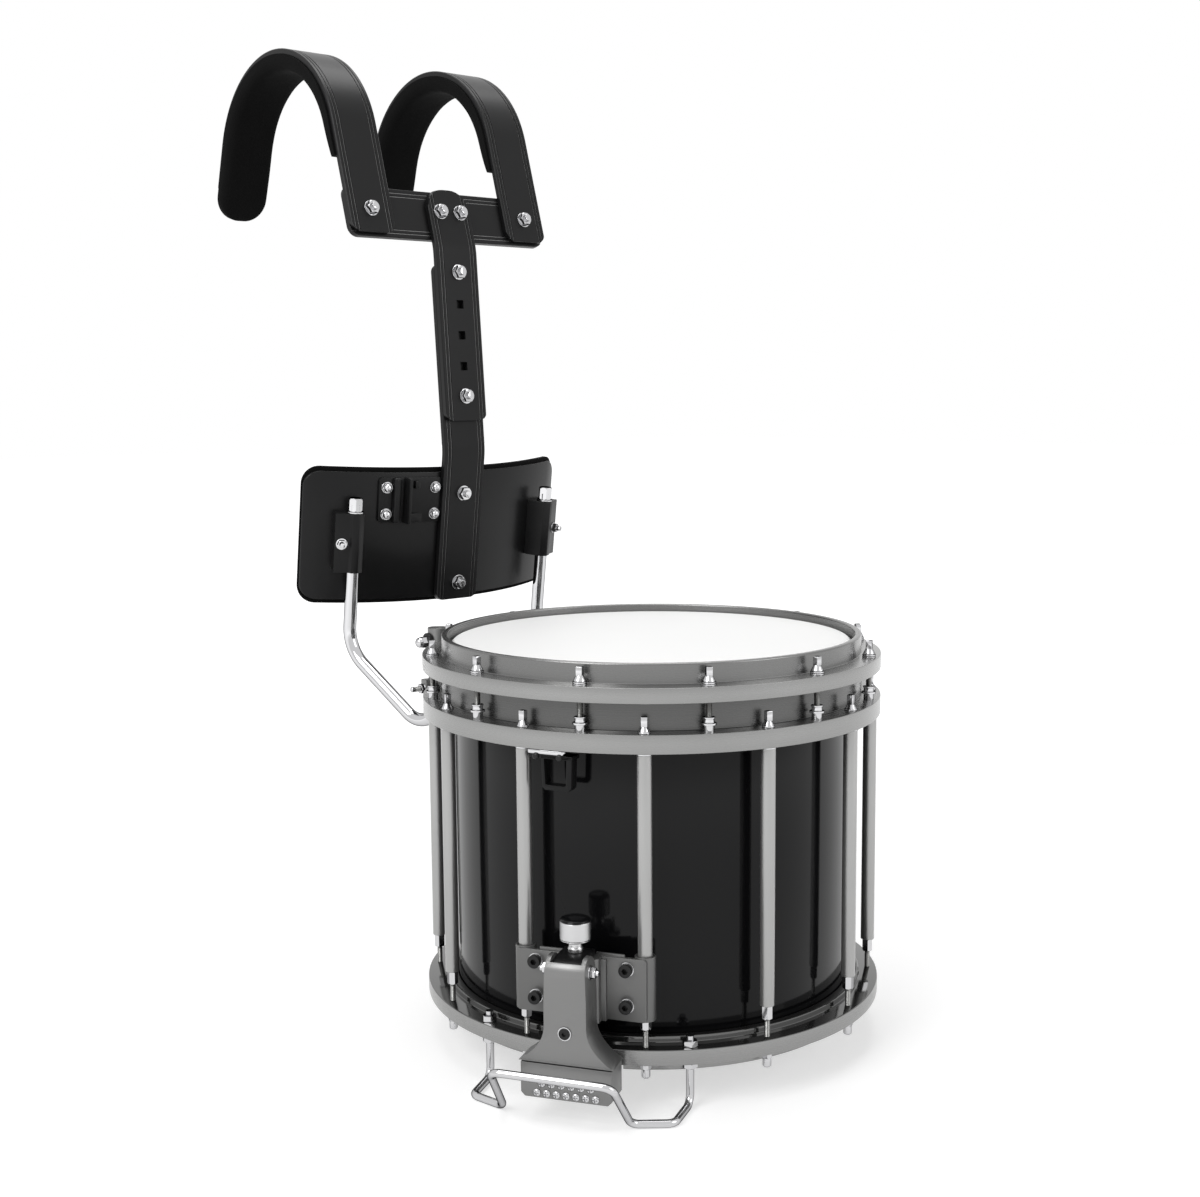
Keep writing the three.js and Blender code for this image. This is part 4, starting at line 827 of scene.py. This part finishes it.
def bent(corners, step=6):
    """Points on straight runs joined by round bends; a corner is (x, y, z, bend radius)."""
    at = [Vector(corner[:3]) for corner in corners]
    points = [at[0]]
    for i in range(1, len(corners) - 1):
        radius = corners[i][3]
        arriving = (at[i] - at[i - 1]).normalized()
        leaving = (at[i + 1] - at[i]).normalized()
        angle = arriving.angle(leaving)
        start = at[i] - arriving * (radius * tan(angle / 2))
        inward = (leaving - arriving * leaving.dot(arriving)).normalized()
        steps = max(2, round(degrees(angle) / step))
        for k in range(steps + 1):
            a = angle * k / steps
            points.append(start + arriving * (radius * sin(a)) + inward * (radius * (1 - cos(a))))
    points.append(at[-1])
    return points


rod_tree, given = tree_with("round rod along a path", {
    "Source": "Object", "Radius": "Float", "Sides": "Int", "Finish": "Material"})
rod_path = wired(rod_tree, "GeometryNodeObjectInfo", {"Object": given["Source"]}).outputs["Geometry"]
rod_line = wired(rod_tree, "GeometryNodeMeshToCurve", {"Mesh": rod_path})
rod_ring = wired(
    rod_tree, "GeometryNodeCurvePrimitiveCircle", {"Resolution": given["Sides"], "Radius": given["Radius"]})
rod_skin = wired(rod_tree, "GeometryNodeCurveToMesh", {
    "Curve": rod_line, "Profile Curve": rod_ring, "Fill Caps": True})
finished_by(rod_tree, rod_skin, given["Finish"])


def rod_along(points, radius, material, sides=32):
    """A round rod that follows a path of points."""
    path = bpy.data.meshes.new("path")
    path.from_pydata([tuple(p) for p in points], [(i, i + 1) for i in range(len(points) - 1)], [])
    return grown(rod_tree, path, {"Radius": radius, "Sides": sides, "Finish": material})


def guard_leg(side):
    """Half of the guard's path, from its end above the hoop to the bar in front of the box."""
    corners = [(guard_half, 0, 9), (guard_half, 0, guard_low), (86, 39.5, guard_low),
               (54, 51.5, guard_low), (50.6, 87.2, -5)]
    return [(side * u, -guard_out - v, z, guard_bend) for u, v, z in corners]


guard_shape = together(
    rod_along(bent(guard_leg(-1) + guard_leg(1)[::-1]), guard_wire, chrome),
    *[shifted(hexagon(11, z, z + height), side * guard_half, -guard_out, 0)
      for side in (-1, 1) for z, height in ((0.2, 5), (-17.6, 4.4))])
piece("strainer_guard", swung(guard_shape, guard_turn), chrome, "drum")
piece("butt_guard", swung(guard_shape, guard_turn + 180), chrome, "drum")

# Front bracket: a chromed strip screwed up under the edge ring, with a black pressed loop hung from
# it, for a strap or a hook.
bracket_turn = -67.5
loop_front, shelf_low, shelf_high = 203, 233.3, 236.5
strip = shifted(softened(prism(rounded_box(16.85, 7, 3.5), 236.8, 240), 0.4), -1.75, -196, 0)
piece("bracket_strip", swung(strip, bracket_turn), chrome, "drum")
loop_plate = prism(
    [(-5.6, shelf_high), (-4.4, 210.5), (-2, 208), (18.8, 208), (21.4, 210.5), (22.2, shelf_high)],
    -loop_front, -193, "y")
loop_eye = prism(
    [(-2.6, shelf_low), (-1.6, 213.2), (-0.6, 212.2), (15.4, 212.2), (16.6, 213.2), (17.2, shelf_low)],
    -210, -180, "y")
bracket_loop = together(
    softened(carved(loop_plate, loop_eye), 0.5),
    softened(block(-16.6, 22.2, -loop_front, -189, shelf_low, shelf_high), 0.4))
piece("bracket_loop", swung(bracket_loop, bracket_turn), satin_black, "drum")
pan_screw = turned([(0, -0.2), (2.7, -0.2), (2.7, 0.9), (1.6, 1.7), (0, 1.7)], 28, 0.3)
loop_screws = together(*[facing_out(pan_screw, u, loop_front, 234.9) for u in (-10, 11)])
piece("bracket_screws", swung(loop_screws, bracket_turn), black_steel, "drum", "bracket_loop")

# Receivers: two cast grey sockets on the player's side of the edge ring. The carrier's rods stand in
# them. A screw with a black disc and a dome nut closes each near the top, a clamp bolt near the foot.
sides = (("left", -1), ("right", 1))
receiver_turn, receiver_out = 155.26, 217.45
receiver_low, receiver_high, receiver_radius = 240, 301.4, 9.5
fittings_turn = -30
screw_z, low_bolt_z = 289.5, 244.5
receiver = together(
    disc(receiver_radius, receiver_low, receiver_high, 0.6, 56, 6.7),
    softened(block(-receiver_radius, receiver_radius, 2, 13.1, receiver_low, receiver_low + 16), 0.8),
    swung(softened(block(8.5, 16.5, -5, 5, receiver_low, receiver_low + 13), 0.8), fittings_turn))


def across(mesh, up):
    """A turned part whose axis points out from the socket's side, at a height."""
    return swung(moved(mesh, shift(0, 0, up) @ spin(90, "Y")), fittings_turn)


receiver_nuts = together(
    across(disc(5.6, 12.3, 18.4, 0, 6), screw_z - 1),
    across(turned([(0, 18), (4.8, 18)] + dome(4.8, 19.4, 4.4), 40), screw_z - 1),
    across(disc(4.6, 16.4, 17.4, 0.3, 40), low_bolt_z), across(disc(4.9, 17.3, 20.8, 0.3, 6), low_bolt_z),
    across(disc(2.5, 27, 30, 0.6, 40), low_bolt_z))
receiver_parts = (
    ("receiver", receiver, satin_grey),
    ("receiver_disc", across(disc(7.4, 9.2, 12.5, 0.4, 40), screw_z), satin_black),
    ("receiver_nuts", receiver_nuts, chrome),
    ("receiver_thread", across(threaded(2.5, 20, 27.5), low_bolt_z), dark_steel))
for name, side in sides:
    stand = spin(side * receiver_turn) @ shift(0, -receiver_out, 0)
    for label, shape, finish in receiver_parts:
        mirrored = moved(shape, stand @ Matrix.Scale(-side, 4, (1, 0, 0)))
        piece(f"{name}_{label}", mirrored, finish, "drum", f"{name}_receiver")

# J-rods: two bent chromed steel rods that carry the drum. Their straight tops pass through the blocks
# on the belly plate, and their hooked lower ends stand in the receivers. A hexagon cap closes each.
rod_radius = 6.35
rod_x, rod_inset = 119.6, 7.3
knee_z, elbow_z, rod_end_z = 272.3, 185, 293.4
plate_y, plate_z, lean = 285.1, 382.5, radians(7.6)
leaned = shift(0, plate_y, plate_z) @ Matrix.Rotation(lean, 4, "X")
rod_top = leaned @ Vector((rod_x, rod_inset, 32))
knee_y = rod_top.y + (rod_top.z - knee_z) * tan(lean)
rod_end_x = receiver_out * sin(radians(receiver_turn))
rod_end_y = -receiver_out * cos(radians(receiver_turn))
rod_cap = together(disc(8.3, 24, 25.5, 0.4, 48), hexagon(12.4, 25.4, 38.5, 1.5))
rod_cap = moved(rod_cap, leaned @ shift(rod_x, rod_inset, 0))
for name, side in sides:
    corners = [
        (side * rod_x, rod_top.y, rod_top.z), (side * rod_x, knee_y, knee_z, 40),
        (side * rod_end_x, rod_end_y, elbow_z, 24), (side * rod_end_x, rod_end_y, rod_end_z)]
    j_rod = together(
        rod_along(bent(corners, 3), rod_radius, chrome, 40),
        moved(rod_cap, Matrix.Scale(side, 4, (1, 0, 0))))
    piece(f"{name}_j_rod", j_rod, chrome, "j_rods")

# Rod blocks: two black machined clamps bolted to the ends of the belly plate, turned to follow its
# curve. Each has a rib round its rod and a lug beside it, with a clamp bolt through the lug.
plate_radius, plate_gap = 314, 0.3
block_turn = 26
block_section = [(-9, 22), (-9, -2.8), (-3.5, -8.4), (3, -8.4), (5, -6), (19.5, -6), (19.5, 22)]
plate_drum = shifted(disc(plate_radius + plate_gap, -60, 60, 0, 360), 0, plate_radius, 0)
rod_block = shifted(swung(softened(prism(block_section, -34.8, 23.7), 0.7), block_turn), rod_x, rod_inset, 0)
rod_block = carved(rod_block, plate_drum)
rod_block = carved(rod_block, shifted(disc(rod_radius + 0.25, -50, 50, 0, 40), rod_x, rod_inset, 0))
block_bolt = together(
    disc(5.65, -0.2, 1.2, 0.25, 36), hexagon(8.2, 1, 5.5, 0.6), disc(2.5, 5, 9.5, 0.5, 28))
block_bolt = shifted(swung(facing_out(block_bolt, 12.6, 6, -6), block_turn), rod_x, rod_inset, 0)
for name, side in sides:
    place_block = leaned @ Matrix.Scale(side, 4, (1, 0, 0))
    piece(f"{name}_rod_block", moved(rod_block, place_block), satin_black, "carrier")
    piece(f"{name}_block_bolt", moved(block_bolt, place_block), chrome, "carrier", f"{name}_rod_block")

# Belly plate: a curved plate of black-finished aluminium that rests against the player. It is bolted
# to the lower bar and carries the rod blocks at its ends.
plate_half_width, plate_half_height, plate_thick, plate_down = 157, 64, 3, 2.5


def curved_slab(outside, inside, half, low, high, steps=72):
    """A slab bent about the player, between two radii, in the plate's own leaning frame."""
    reach = asin(half / plate_radius)
    angles = [reach * (2 * i / steps - 1) for i in range(steps + 1)]
    front = [(outside * sin(a), plate_radius - outside * cos(a)) for a in angles]
    rear = [(inside * sin(a), plate_radius - inside * cos(a)) for a in reversed(angles)]
    return prism(front + rear, low, high)


plate_black = surface(
    "matte black plate", (0.007, 0.007, 0.0073), (0.009, 0.009, 0.0093), 0.3, gloss=0.2)
plate_outline = prism(rounded_box(plate_half_width, plate_half_height, 15, 10), -2, 300, "y")
belly_plate = carved(
    curved_slab(plate_radius, plate_radius - plate_thick, 172, -70, 70),
    shifted(plate_outline, 0, 0, -plate_down), "INTERSECT")
piece("belly_plate", moved(softened(belly_plate, 0.9, 2, 40), leaned), plate_black, "carrier")

# Belly pad: a slab of closed-cell black foam glued to the back of the plate, rounded all round its
# free edge.
foam = surface(
    "black foam", (0.004, 0.004, 0.004), (0.007, 0.007, 0.007), 0.88, grain=700,
    depth=0.00035, patch=40, gloss=0.08)


def cushion(place, half_width, half_length, corners, thick, rim, across_steps, along_steps):
    """A pad with a flat back, a crowned face and drawn-in sides, from a rule that places its points."""
    shape = bmesh.new()

    def spread(k, n):
        return sin(pi / 2 * (2 * k / n - 1))

    def fall(share):
        return 1 - abs(share) ** 7

    def point(i, j, top):
        a, b = spread(i, across_steps), spread(j, along_steps)
        corner = corners[0] if b < 0 else corners[1]
        left = corner - (1 - abs(b)) * half_length
        narrow = corner - sqrt(max(0, corner * corner - left * left)) if left > 0 else 0
        half = half_width - narrow * half_width / max(half_width, corner)
        height = rim + (thick - rim) * sqrt(max(0, fall(a) * fall(b)))
        ripple = 0.25 * noise.noise(Vector((a * 3, b * 9, top * 5)))
        return shape.verts.new(place(b * half_length, a * half, (height + ripple) * top))

    bottom, top = [[[point(i, j, layer) for i in range(across_steps + 1)] for j in range(along_steps + 1)]
                   for layer in (0, 1)]
    for j in range(along_steps):
        for i in range(across_steps):
            shape.faces.new([bottom[j][i], bottom[j][i + 1], bottom[j + 1][i + 1], bottom[j + 1][i]])
            shape.faces.new([top[j][i], top[j + 1][i], top[j + 1][i + 1], top[j][i + 1]])
        for i in (0, across_steps):
            shape.faces.new([bottom[j][i], bottom[j + 1][i], top[j + 1][i], top[j][i]])
    for i in range(across_steps):
        for j in (0, along_steps):
            shape.faces.new([bottom[j][i], top[j][i], top[j][i + 1], bottom[j][i + 1]])
    return as_mesh(shape)


def on_plate_back(along, across_way, height):
    """A point behind the plate, at a height off its back face."""
    angle = across_way / plate_radius
    radius = plate_radius - plate_thick - plate_gap - height
    return leaned @ Vector((
        radius * sin(angle), plate_radius - radius * cos(angle), along - plate_down))


pad_reach = plate_radius * asin(plate_half_width / plate_radius) + 3
belly_pad = cushion(on_plate_back, pad_reach, 68, (18, 18), 12.5, 4, 72, 40)
piece("belly_pad", belly_pad, foam, "carrier", crease=60)

# Clip bracket: a folded black holder bolted to the front of the plate with four dome nuts. A sloping
# rib and a thin upright one leave a slot between them.
clip_half_width, clip_half_height, clip_mid, clip_mid_z = 33, 22.5, -58, 34.5
clip_low, clip_high, clip_thick = 12, 57, 3


def plate_front(x):
    """How far forward of the plate's middle its front face lies, at a distance from the middle."""
    return plate_radius - sqrt(plate_radius ** 2 - x ** 2)


def clip_rib(left, right, height, low, high, soft, segments=2):
    """An upright rib on the holder's front, between two distances from the plate's middle."""
    foot = plate_front((left + right) / 2) - 2
    return softened(block(left, right, foot - 1.3 - height, foot, low, high), soft, segments)


def dome_nut(across_flats, height):
    """A dome nut that stands on the plane at zero, with a flange under it."""
    radius = across_flats / 2 * 0.92
    crown = dome(radius, height * 0.45, height * 0.55)
    return together(
        hexagon(across_flats, 0.3, height * 0.5, 0.5), disc(across_flats * 0.62, 0, 0.9, 0.25),
        turned([(0, height * 0.4), (radius, height * 0.4)] + crown, 32))


clip_outline = prism(rounded_box(clip_half_width, clip_half_height, 4), -100, 100, "y")
clip_base = carved(
    curved_slab(plate_radius + plate_gap + clip_thick, plate_radius + plate_gap, 120, clip_low, clip_high),
    shifted(clip_outline, clip_mid, 0, clip_mid_z), "INTERSECT")
clip_shape = together(
    softened(clip_base, 0.4), clip_rib(-78.5, -70.5, 5.5, clip_low, clip_high, 2, 3),
    clip_rib(-66, -63, 10, clip_low - 0.5, clip_high, 0.5), clip_rib(-56, -50, 3, 46, 54, 0.6),
    clip_rib(-62, -44, 1.2, clip_low, 21, 0.5))
piece("clip_bracket", moved(clip_shape, leaned), satin_black, "carrier")
clip_nut = facing_out(dome_nut(9.2, 7), 0, 0, 0)
clip_nuts = []
for x, z in [(x, z) for x in (-83.5, -32.4) for z in (47, 20.5)]:
    front = shift(x, plate_front(x) - plate_gap - clip_thick, z)
    clip_nuts.append(moved(clip_nut, leaned @ front @ Matrix.Rotation(asin(x / plate_radius), 4, "Z")))
piece("clip_nuts", together(*clip_nuts), chrome, "carrier", "clip_bracket")

# Lower bar: a flat black aluminium bar with two fine grooves along each edge of its front. It is
# bolted to the middle of the belly plate and rises, slightly bent, behind the upper bar.
bar_half, bar_thick, bar_gap = 25, 5.5, 0.3
upper_lean, top_lean = radians(4.17), radians(16)
groove_places = (-bar_half + 4.3, -bar_half + 8, bar_half - 8, bar_half - 4.3)


def along_path(path, section):
    """A section carried along (y, z) points, with its front away from the player."""
    rows = []
    for i, (y, z) in enumerate(path):
        before, after = path[max(i - 1, 0)], path[min(i + 1, len(path) - 1)]
        first = Vector((y - before[0], z - before[1])) if i else Vector((after[0] - y, after[1] - z))
        second = Vector((after[0] - y, after[1] - z)) if i < len(path) - 1 else first
        way = (first.normalized() + second.normalized()).normalized()
        out = Vector((-way.y, way.x)) / max(0.5, way.dot(first.normalized()))
        rows.append([(a, y + out.x * b, z + out.y * b) for a, b in section])
    return skinned(rows)


def bar_along(path, thick):
    """A bar whose middle line follows (y, z) points, with two grooves near each front edge.

    It comes with a thin strip at the bottom of each groove, a fine line painted light as a highlight.
    """
    front, chamfer = thick / 2, 0.8
    section = [(-bar_half, -front), (-bar_half, front - chamfer), (-bar_half + chamfer, front)]
    # Thin strips at the groove bottoms, in a lighter finish, paint a highlight line along each groove.
    highlight_lines = []
    for x in groove_places:
        section += [(x - 0.55, front), (x - 0.35, front - 0.7), (x + 0.35, front - 0.7), (x + 0.55, front)]
        low, high, left, right = front - 0.92, front - 0.62, x - 0.34, x + 0.34
        highlight_lines.append(along_path(path, [(left, low), (left, high), (right, high), (right, low)]))
    section += [(bar_half - chamfer, front), (bar_half, front - chamfer), (bar_half, -front)]
    return along_path(path, section), together(*highlight_lines)


def bend_line(corners, step=3):
    """(y, z) points of a bent line, from (y, z, bend radius) corners."""
    return [(p.y, p.z) for p in bent([(0, *corner) for corner in corners], step)]


def trimmed(mesh, low, high, foot, crown, near=200, far=700):
    """What lies of a bar between two depths, with its foot and its top cut to round corners."""
    outline = rounded_box(bar_half + 0.2, (high - low) / 2, foot, 8, crown)
    return carved(mesh, shifted(prism(outline, near, far, "y"), 0, 0, (low + high) / 2), "INTERSECT")


def bar_bolt(y, z, slope, x=0):
    """A chromed bolt end with its washer and nut on a bar's front face."""
    bolt = together(disc(7.6, -0.1, 1.2, 0.25, 36), hexagon(11.6, 1, 6.2, 0.8), disc(3.6, 5, 9, 0.6, 28))
    return moved(bolt, shift(x, y, z) @ Matrix.Rotation(slope + radians(90), 4, "X"))


bar_line = -bar_gap - bar_thick / 2
low_point = leaned @ Vector((0, bar_line, -69.5))
bend_point = leaned @ Vector((0, bar_line, 82))
lower_top = 648
lower_top_y = bend_point.y + (lower_top - bend_point.z) * tan(upper_lean)
lower_line = bend_line([
    (low_point.y, low_point.z), (bend_point.y, bend_point.z, 60), (lower_top_y, lower_top)])
lower_bar, lower_groove_highlights = [
    trimmed(mesh, low_point.z - 0.3, lower_top - 0.3, 8, 8) for mesh in bar_along(lower_line, bar_thick)]
piece("lower_bar", lower_bar, satin_black, "carrier")
# Painted highlight: a light grey metal for the strips in the grooves, for the light caught along the
# grooves.
groove_highlight_paint = surface(
    "painted highlight in a groove", (0.3, 0.3, 0.3), (0.16, 0.16, 0.16), 0.4, 0.5, grain=900,
    patch=60)
piece("lower_bar_grooves", lower_groove_highlights, groove_highlight_paint, "carrier", "lower_bar")
foot_front = (bar_gap + bar_thick) / cos(lean)
lower_bolts = together(*[
    bar_bolt(plate_y - (z - plate_z) * tan(lean) - foot_front, z, lean) for z in (330.3, 421.6)])
piece("lower_bar_bolts", lower_bolts, chrome, "carrier", "lower_bar")

# Upper bar: the same grooved bar, set on the front of the lower one and clamped to it at the height
# that suits the player. Three square holes let it be moved, and its top leans toward the shoulders.
upper_foot, upper_bend, upper_top = 494, 664, 722.5
stack = (bar_thick + bar_gap) / cos(upper_lean)


def along_lower(z):
    """The upper bar's middle line at a height, on the lower bar's front."""
    return bend_point.y + (z - bend_point.z) * tan(upper_lean) - stack


def above_bend(z):
    """The upper bar's middle line at a height on its leaning top."""
    return along_lower(upper_bend) + (z - upper_bend) * tan(top_lean)


upper_line = bend_line([
    (along_lower(upper_foot), upper_foot), (along_lower(upper_bend), upper_bend, 60),
    (above_bend(upper_top), upper_top)])
upper_bar, upper_groove_highlights = [
    trimmed(mesh, 494.3, upper_top - 0.3, 9, 21) for mesh in bar_along(upper_line, bar_thick)]
piece("upper_bar_grooves", upper_groove_highlights, groove_highlight_paint, "yoke", "upper_bar")
for z in (548.2, 578.7, 609.2):
    y = along_lower(z)
    upper_bar = carved(upper_bar, shifted(prism(rounded_box(4.2, 4.2, 0.5, 2), y - 8, y + 8, "y"), 0, 0, z))
piece("upper_bar", upper_bar, satin_black, "yoke")
upper_bolts = together(*[
    bar_bolt(along_lower(z) - bar_thick / 2 / cos(upper_lean), z, -upper_lean) for z in (518.6, 640.8)])
piece("upper_bar_bolts", upper_bolts, chrome, "yoke", "upper_bar")

# Crossbar: a shorter grooved bar that lies across behind the top of the upper bar, held to it by two
# bolts. The shoulder bars are bolted to its ends.
cross_z, cross_bolt_z = 695, 699.7
cross_y = above_bend(cross_z) + (bar_thick + bar_gap) / cos(top_lean)
cross_half = 118
cross_outline = prism(rounded_box(cross_half, bar_half, 10, 8), -20, 20, "y")
cross_shapes = bar_along([(0, -cross_half), (0, cross_half)], bar_thick)
cross_place = shift(0, cross_y, cross_z) @ Matrix.Rotation(-top_lean, 4, "X")
for name, shape, finish in zip(("crossbar", "crossbar_grooves"), cross_shapes, (satin_black, groove_highlight_paint)):
    shape = carved(moved(shape, spin(-90, "Y")), cross_outline, "INTERSECT")
    piece(name, moved(shape, cross_place), finish, "yoke", "crossbar")
top_front = above_bend(cross_bolt_z) - bar_thick / 2 / cos(top_lean)
cross_bolts = together(*[bar_bolt(top_front, cross_bolt_z, -top_lean, x) for x in (-12, 12)])
piece("crossbar_bolts", cross_bolts, chrome, "yoke", "upper_bar")

# Shoulder bars: two bent black bars, grooved like the others, that go up from the crossbar and over
# the player's shoulders. Each is held by one bolt and can be turned a little to fit.
strap_thick = 5
strap_x = 93.8
strap_foot, strap_heel, strap_bolt_z, strap_tall = 675, 733, 698, 240
strap_line = cross_y - (bar_thick / 2 + bar_gap + strap_thick / 2) / cos(top_lean)
arch_radius = 110 - strap_thick / 2
arch_z = 752
arch_y = strap_line + (arch_z + arch_radius * sin(top_lean) - cross_z) * tan(top_lean)
arch_y += arch_radius * cos(top_lean)


def shoulder_path(radius, foot, heel, steps=50):
    """(y, z) points over the shoulder, from the front leg's foot to the heel behind."""
    lift, out = radius * sin(top_lean), radius * cos(top_lean)
    path = [(arch_y - out - (arch_z + lift - foot) * tan(top_lean), foot)]
    path += arc((arch_y, arch_z), radius, 164, 16, steps)
    return path + [(arch_y + out + (arch_z + lift - heel) * tan(top_lean), heel)]


def halves_trimmed(mesh):
    """A shoulder bar with round corners at its foot and its heel, cut at the top of the arch."""
    return together(
        trimmed(mesh, strap_foot, strap_foot + strap_tall, 12, 12, far=arch_y),
        trimmed(mesh, strap_heel, strap_heel + strap_tall, 9, 9, near=arch_y))


strap_path = shoulder_path(arch_radius, strap_foot, strap_heel)
strap_shape, strap_groove_highlights = [halves_trimmed(mesh) for mesh in bar_along(strap_path, strap_thick)]
shape = bmesh.new()
shape.from_mesh(strap_shape)
cut_faces = [f for f in shape.faces if all(abs(v.co.y - arch_y) < 0.01 for v in f.verts)]
bmesh.ops.delete(shape, geom=cut_faces, context="FACES")
strap_shape = as_mesh(shape)
strap_front = strap_line + (strap_bolt_z - cross_z) * tan(top_lean) - strap_thick / 2 / cos(top_lean)
strap_bolt = bar_bolt(strap_front, strap_bolt_z, -top_lean)
for name, side in sides:
    for label, shape, finish in (
            ("bar", strap_shape, satin_black), ("grooves", strap_groove_highlights, groove_highlight_paint),
            ("bolt", strap_bolt, chrome)):
        piece(f"{name}_shoulder_{label}", shifted(shape, side * strap_x, 0, 0), finish, f"{name}_shoulder",
              f"{name}_shoulder_bar")

# Shoulder pads: thick black foam glued under the shoulder bars, a little wider than the bars. They are
# cut square in front and rounded behind, with soft edges.
pad_path = shoulder_path(arch_radius - strap_thick / 2 - 0.3, 748, 707, 60)
pad_runs = [dist(a, b) for a, b in zip(pad_path, pad_path[1:])]
pad_length = sum(pad_runs)


def under_strap(along, across_way, height):
    """A point on the underside of a shoulder bar, at a distance along it and off it."""
    rest = along + pad_length / 2
    i = 0
    while i < len(pad_runs) - 1 and rest > pad_runs[i]:
        rest -= pad_runs[i]
        i += 1
    (y0, z0), (y1, z1) = pad_path[i], pad_path[i + 1]
    share = min(1, rest / pad_runs[i])
    way = Vector((y1 - y0, z1 - z0)).normalized()
    return Vector((
        across_way, y0 + (y1 - y0) * share + way.y * height, z0 + (z1 - z0) * share - way.x * height))


pad_shape = cushion(under_strap, 27, pad_length / 2, (0, 24), 16, 5, 28, 120)
for name, side in sides:
    shoulder_pad = shifted(pad_shape, side * strap_x, 0, 0)
    piece(f"{name}_shoulder_pad", shoulder_pad, foam, f"{name}_shoulder", crease=60)
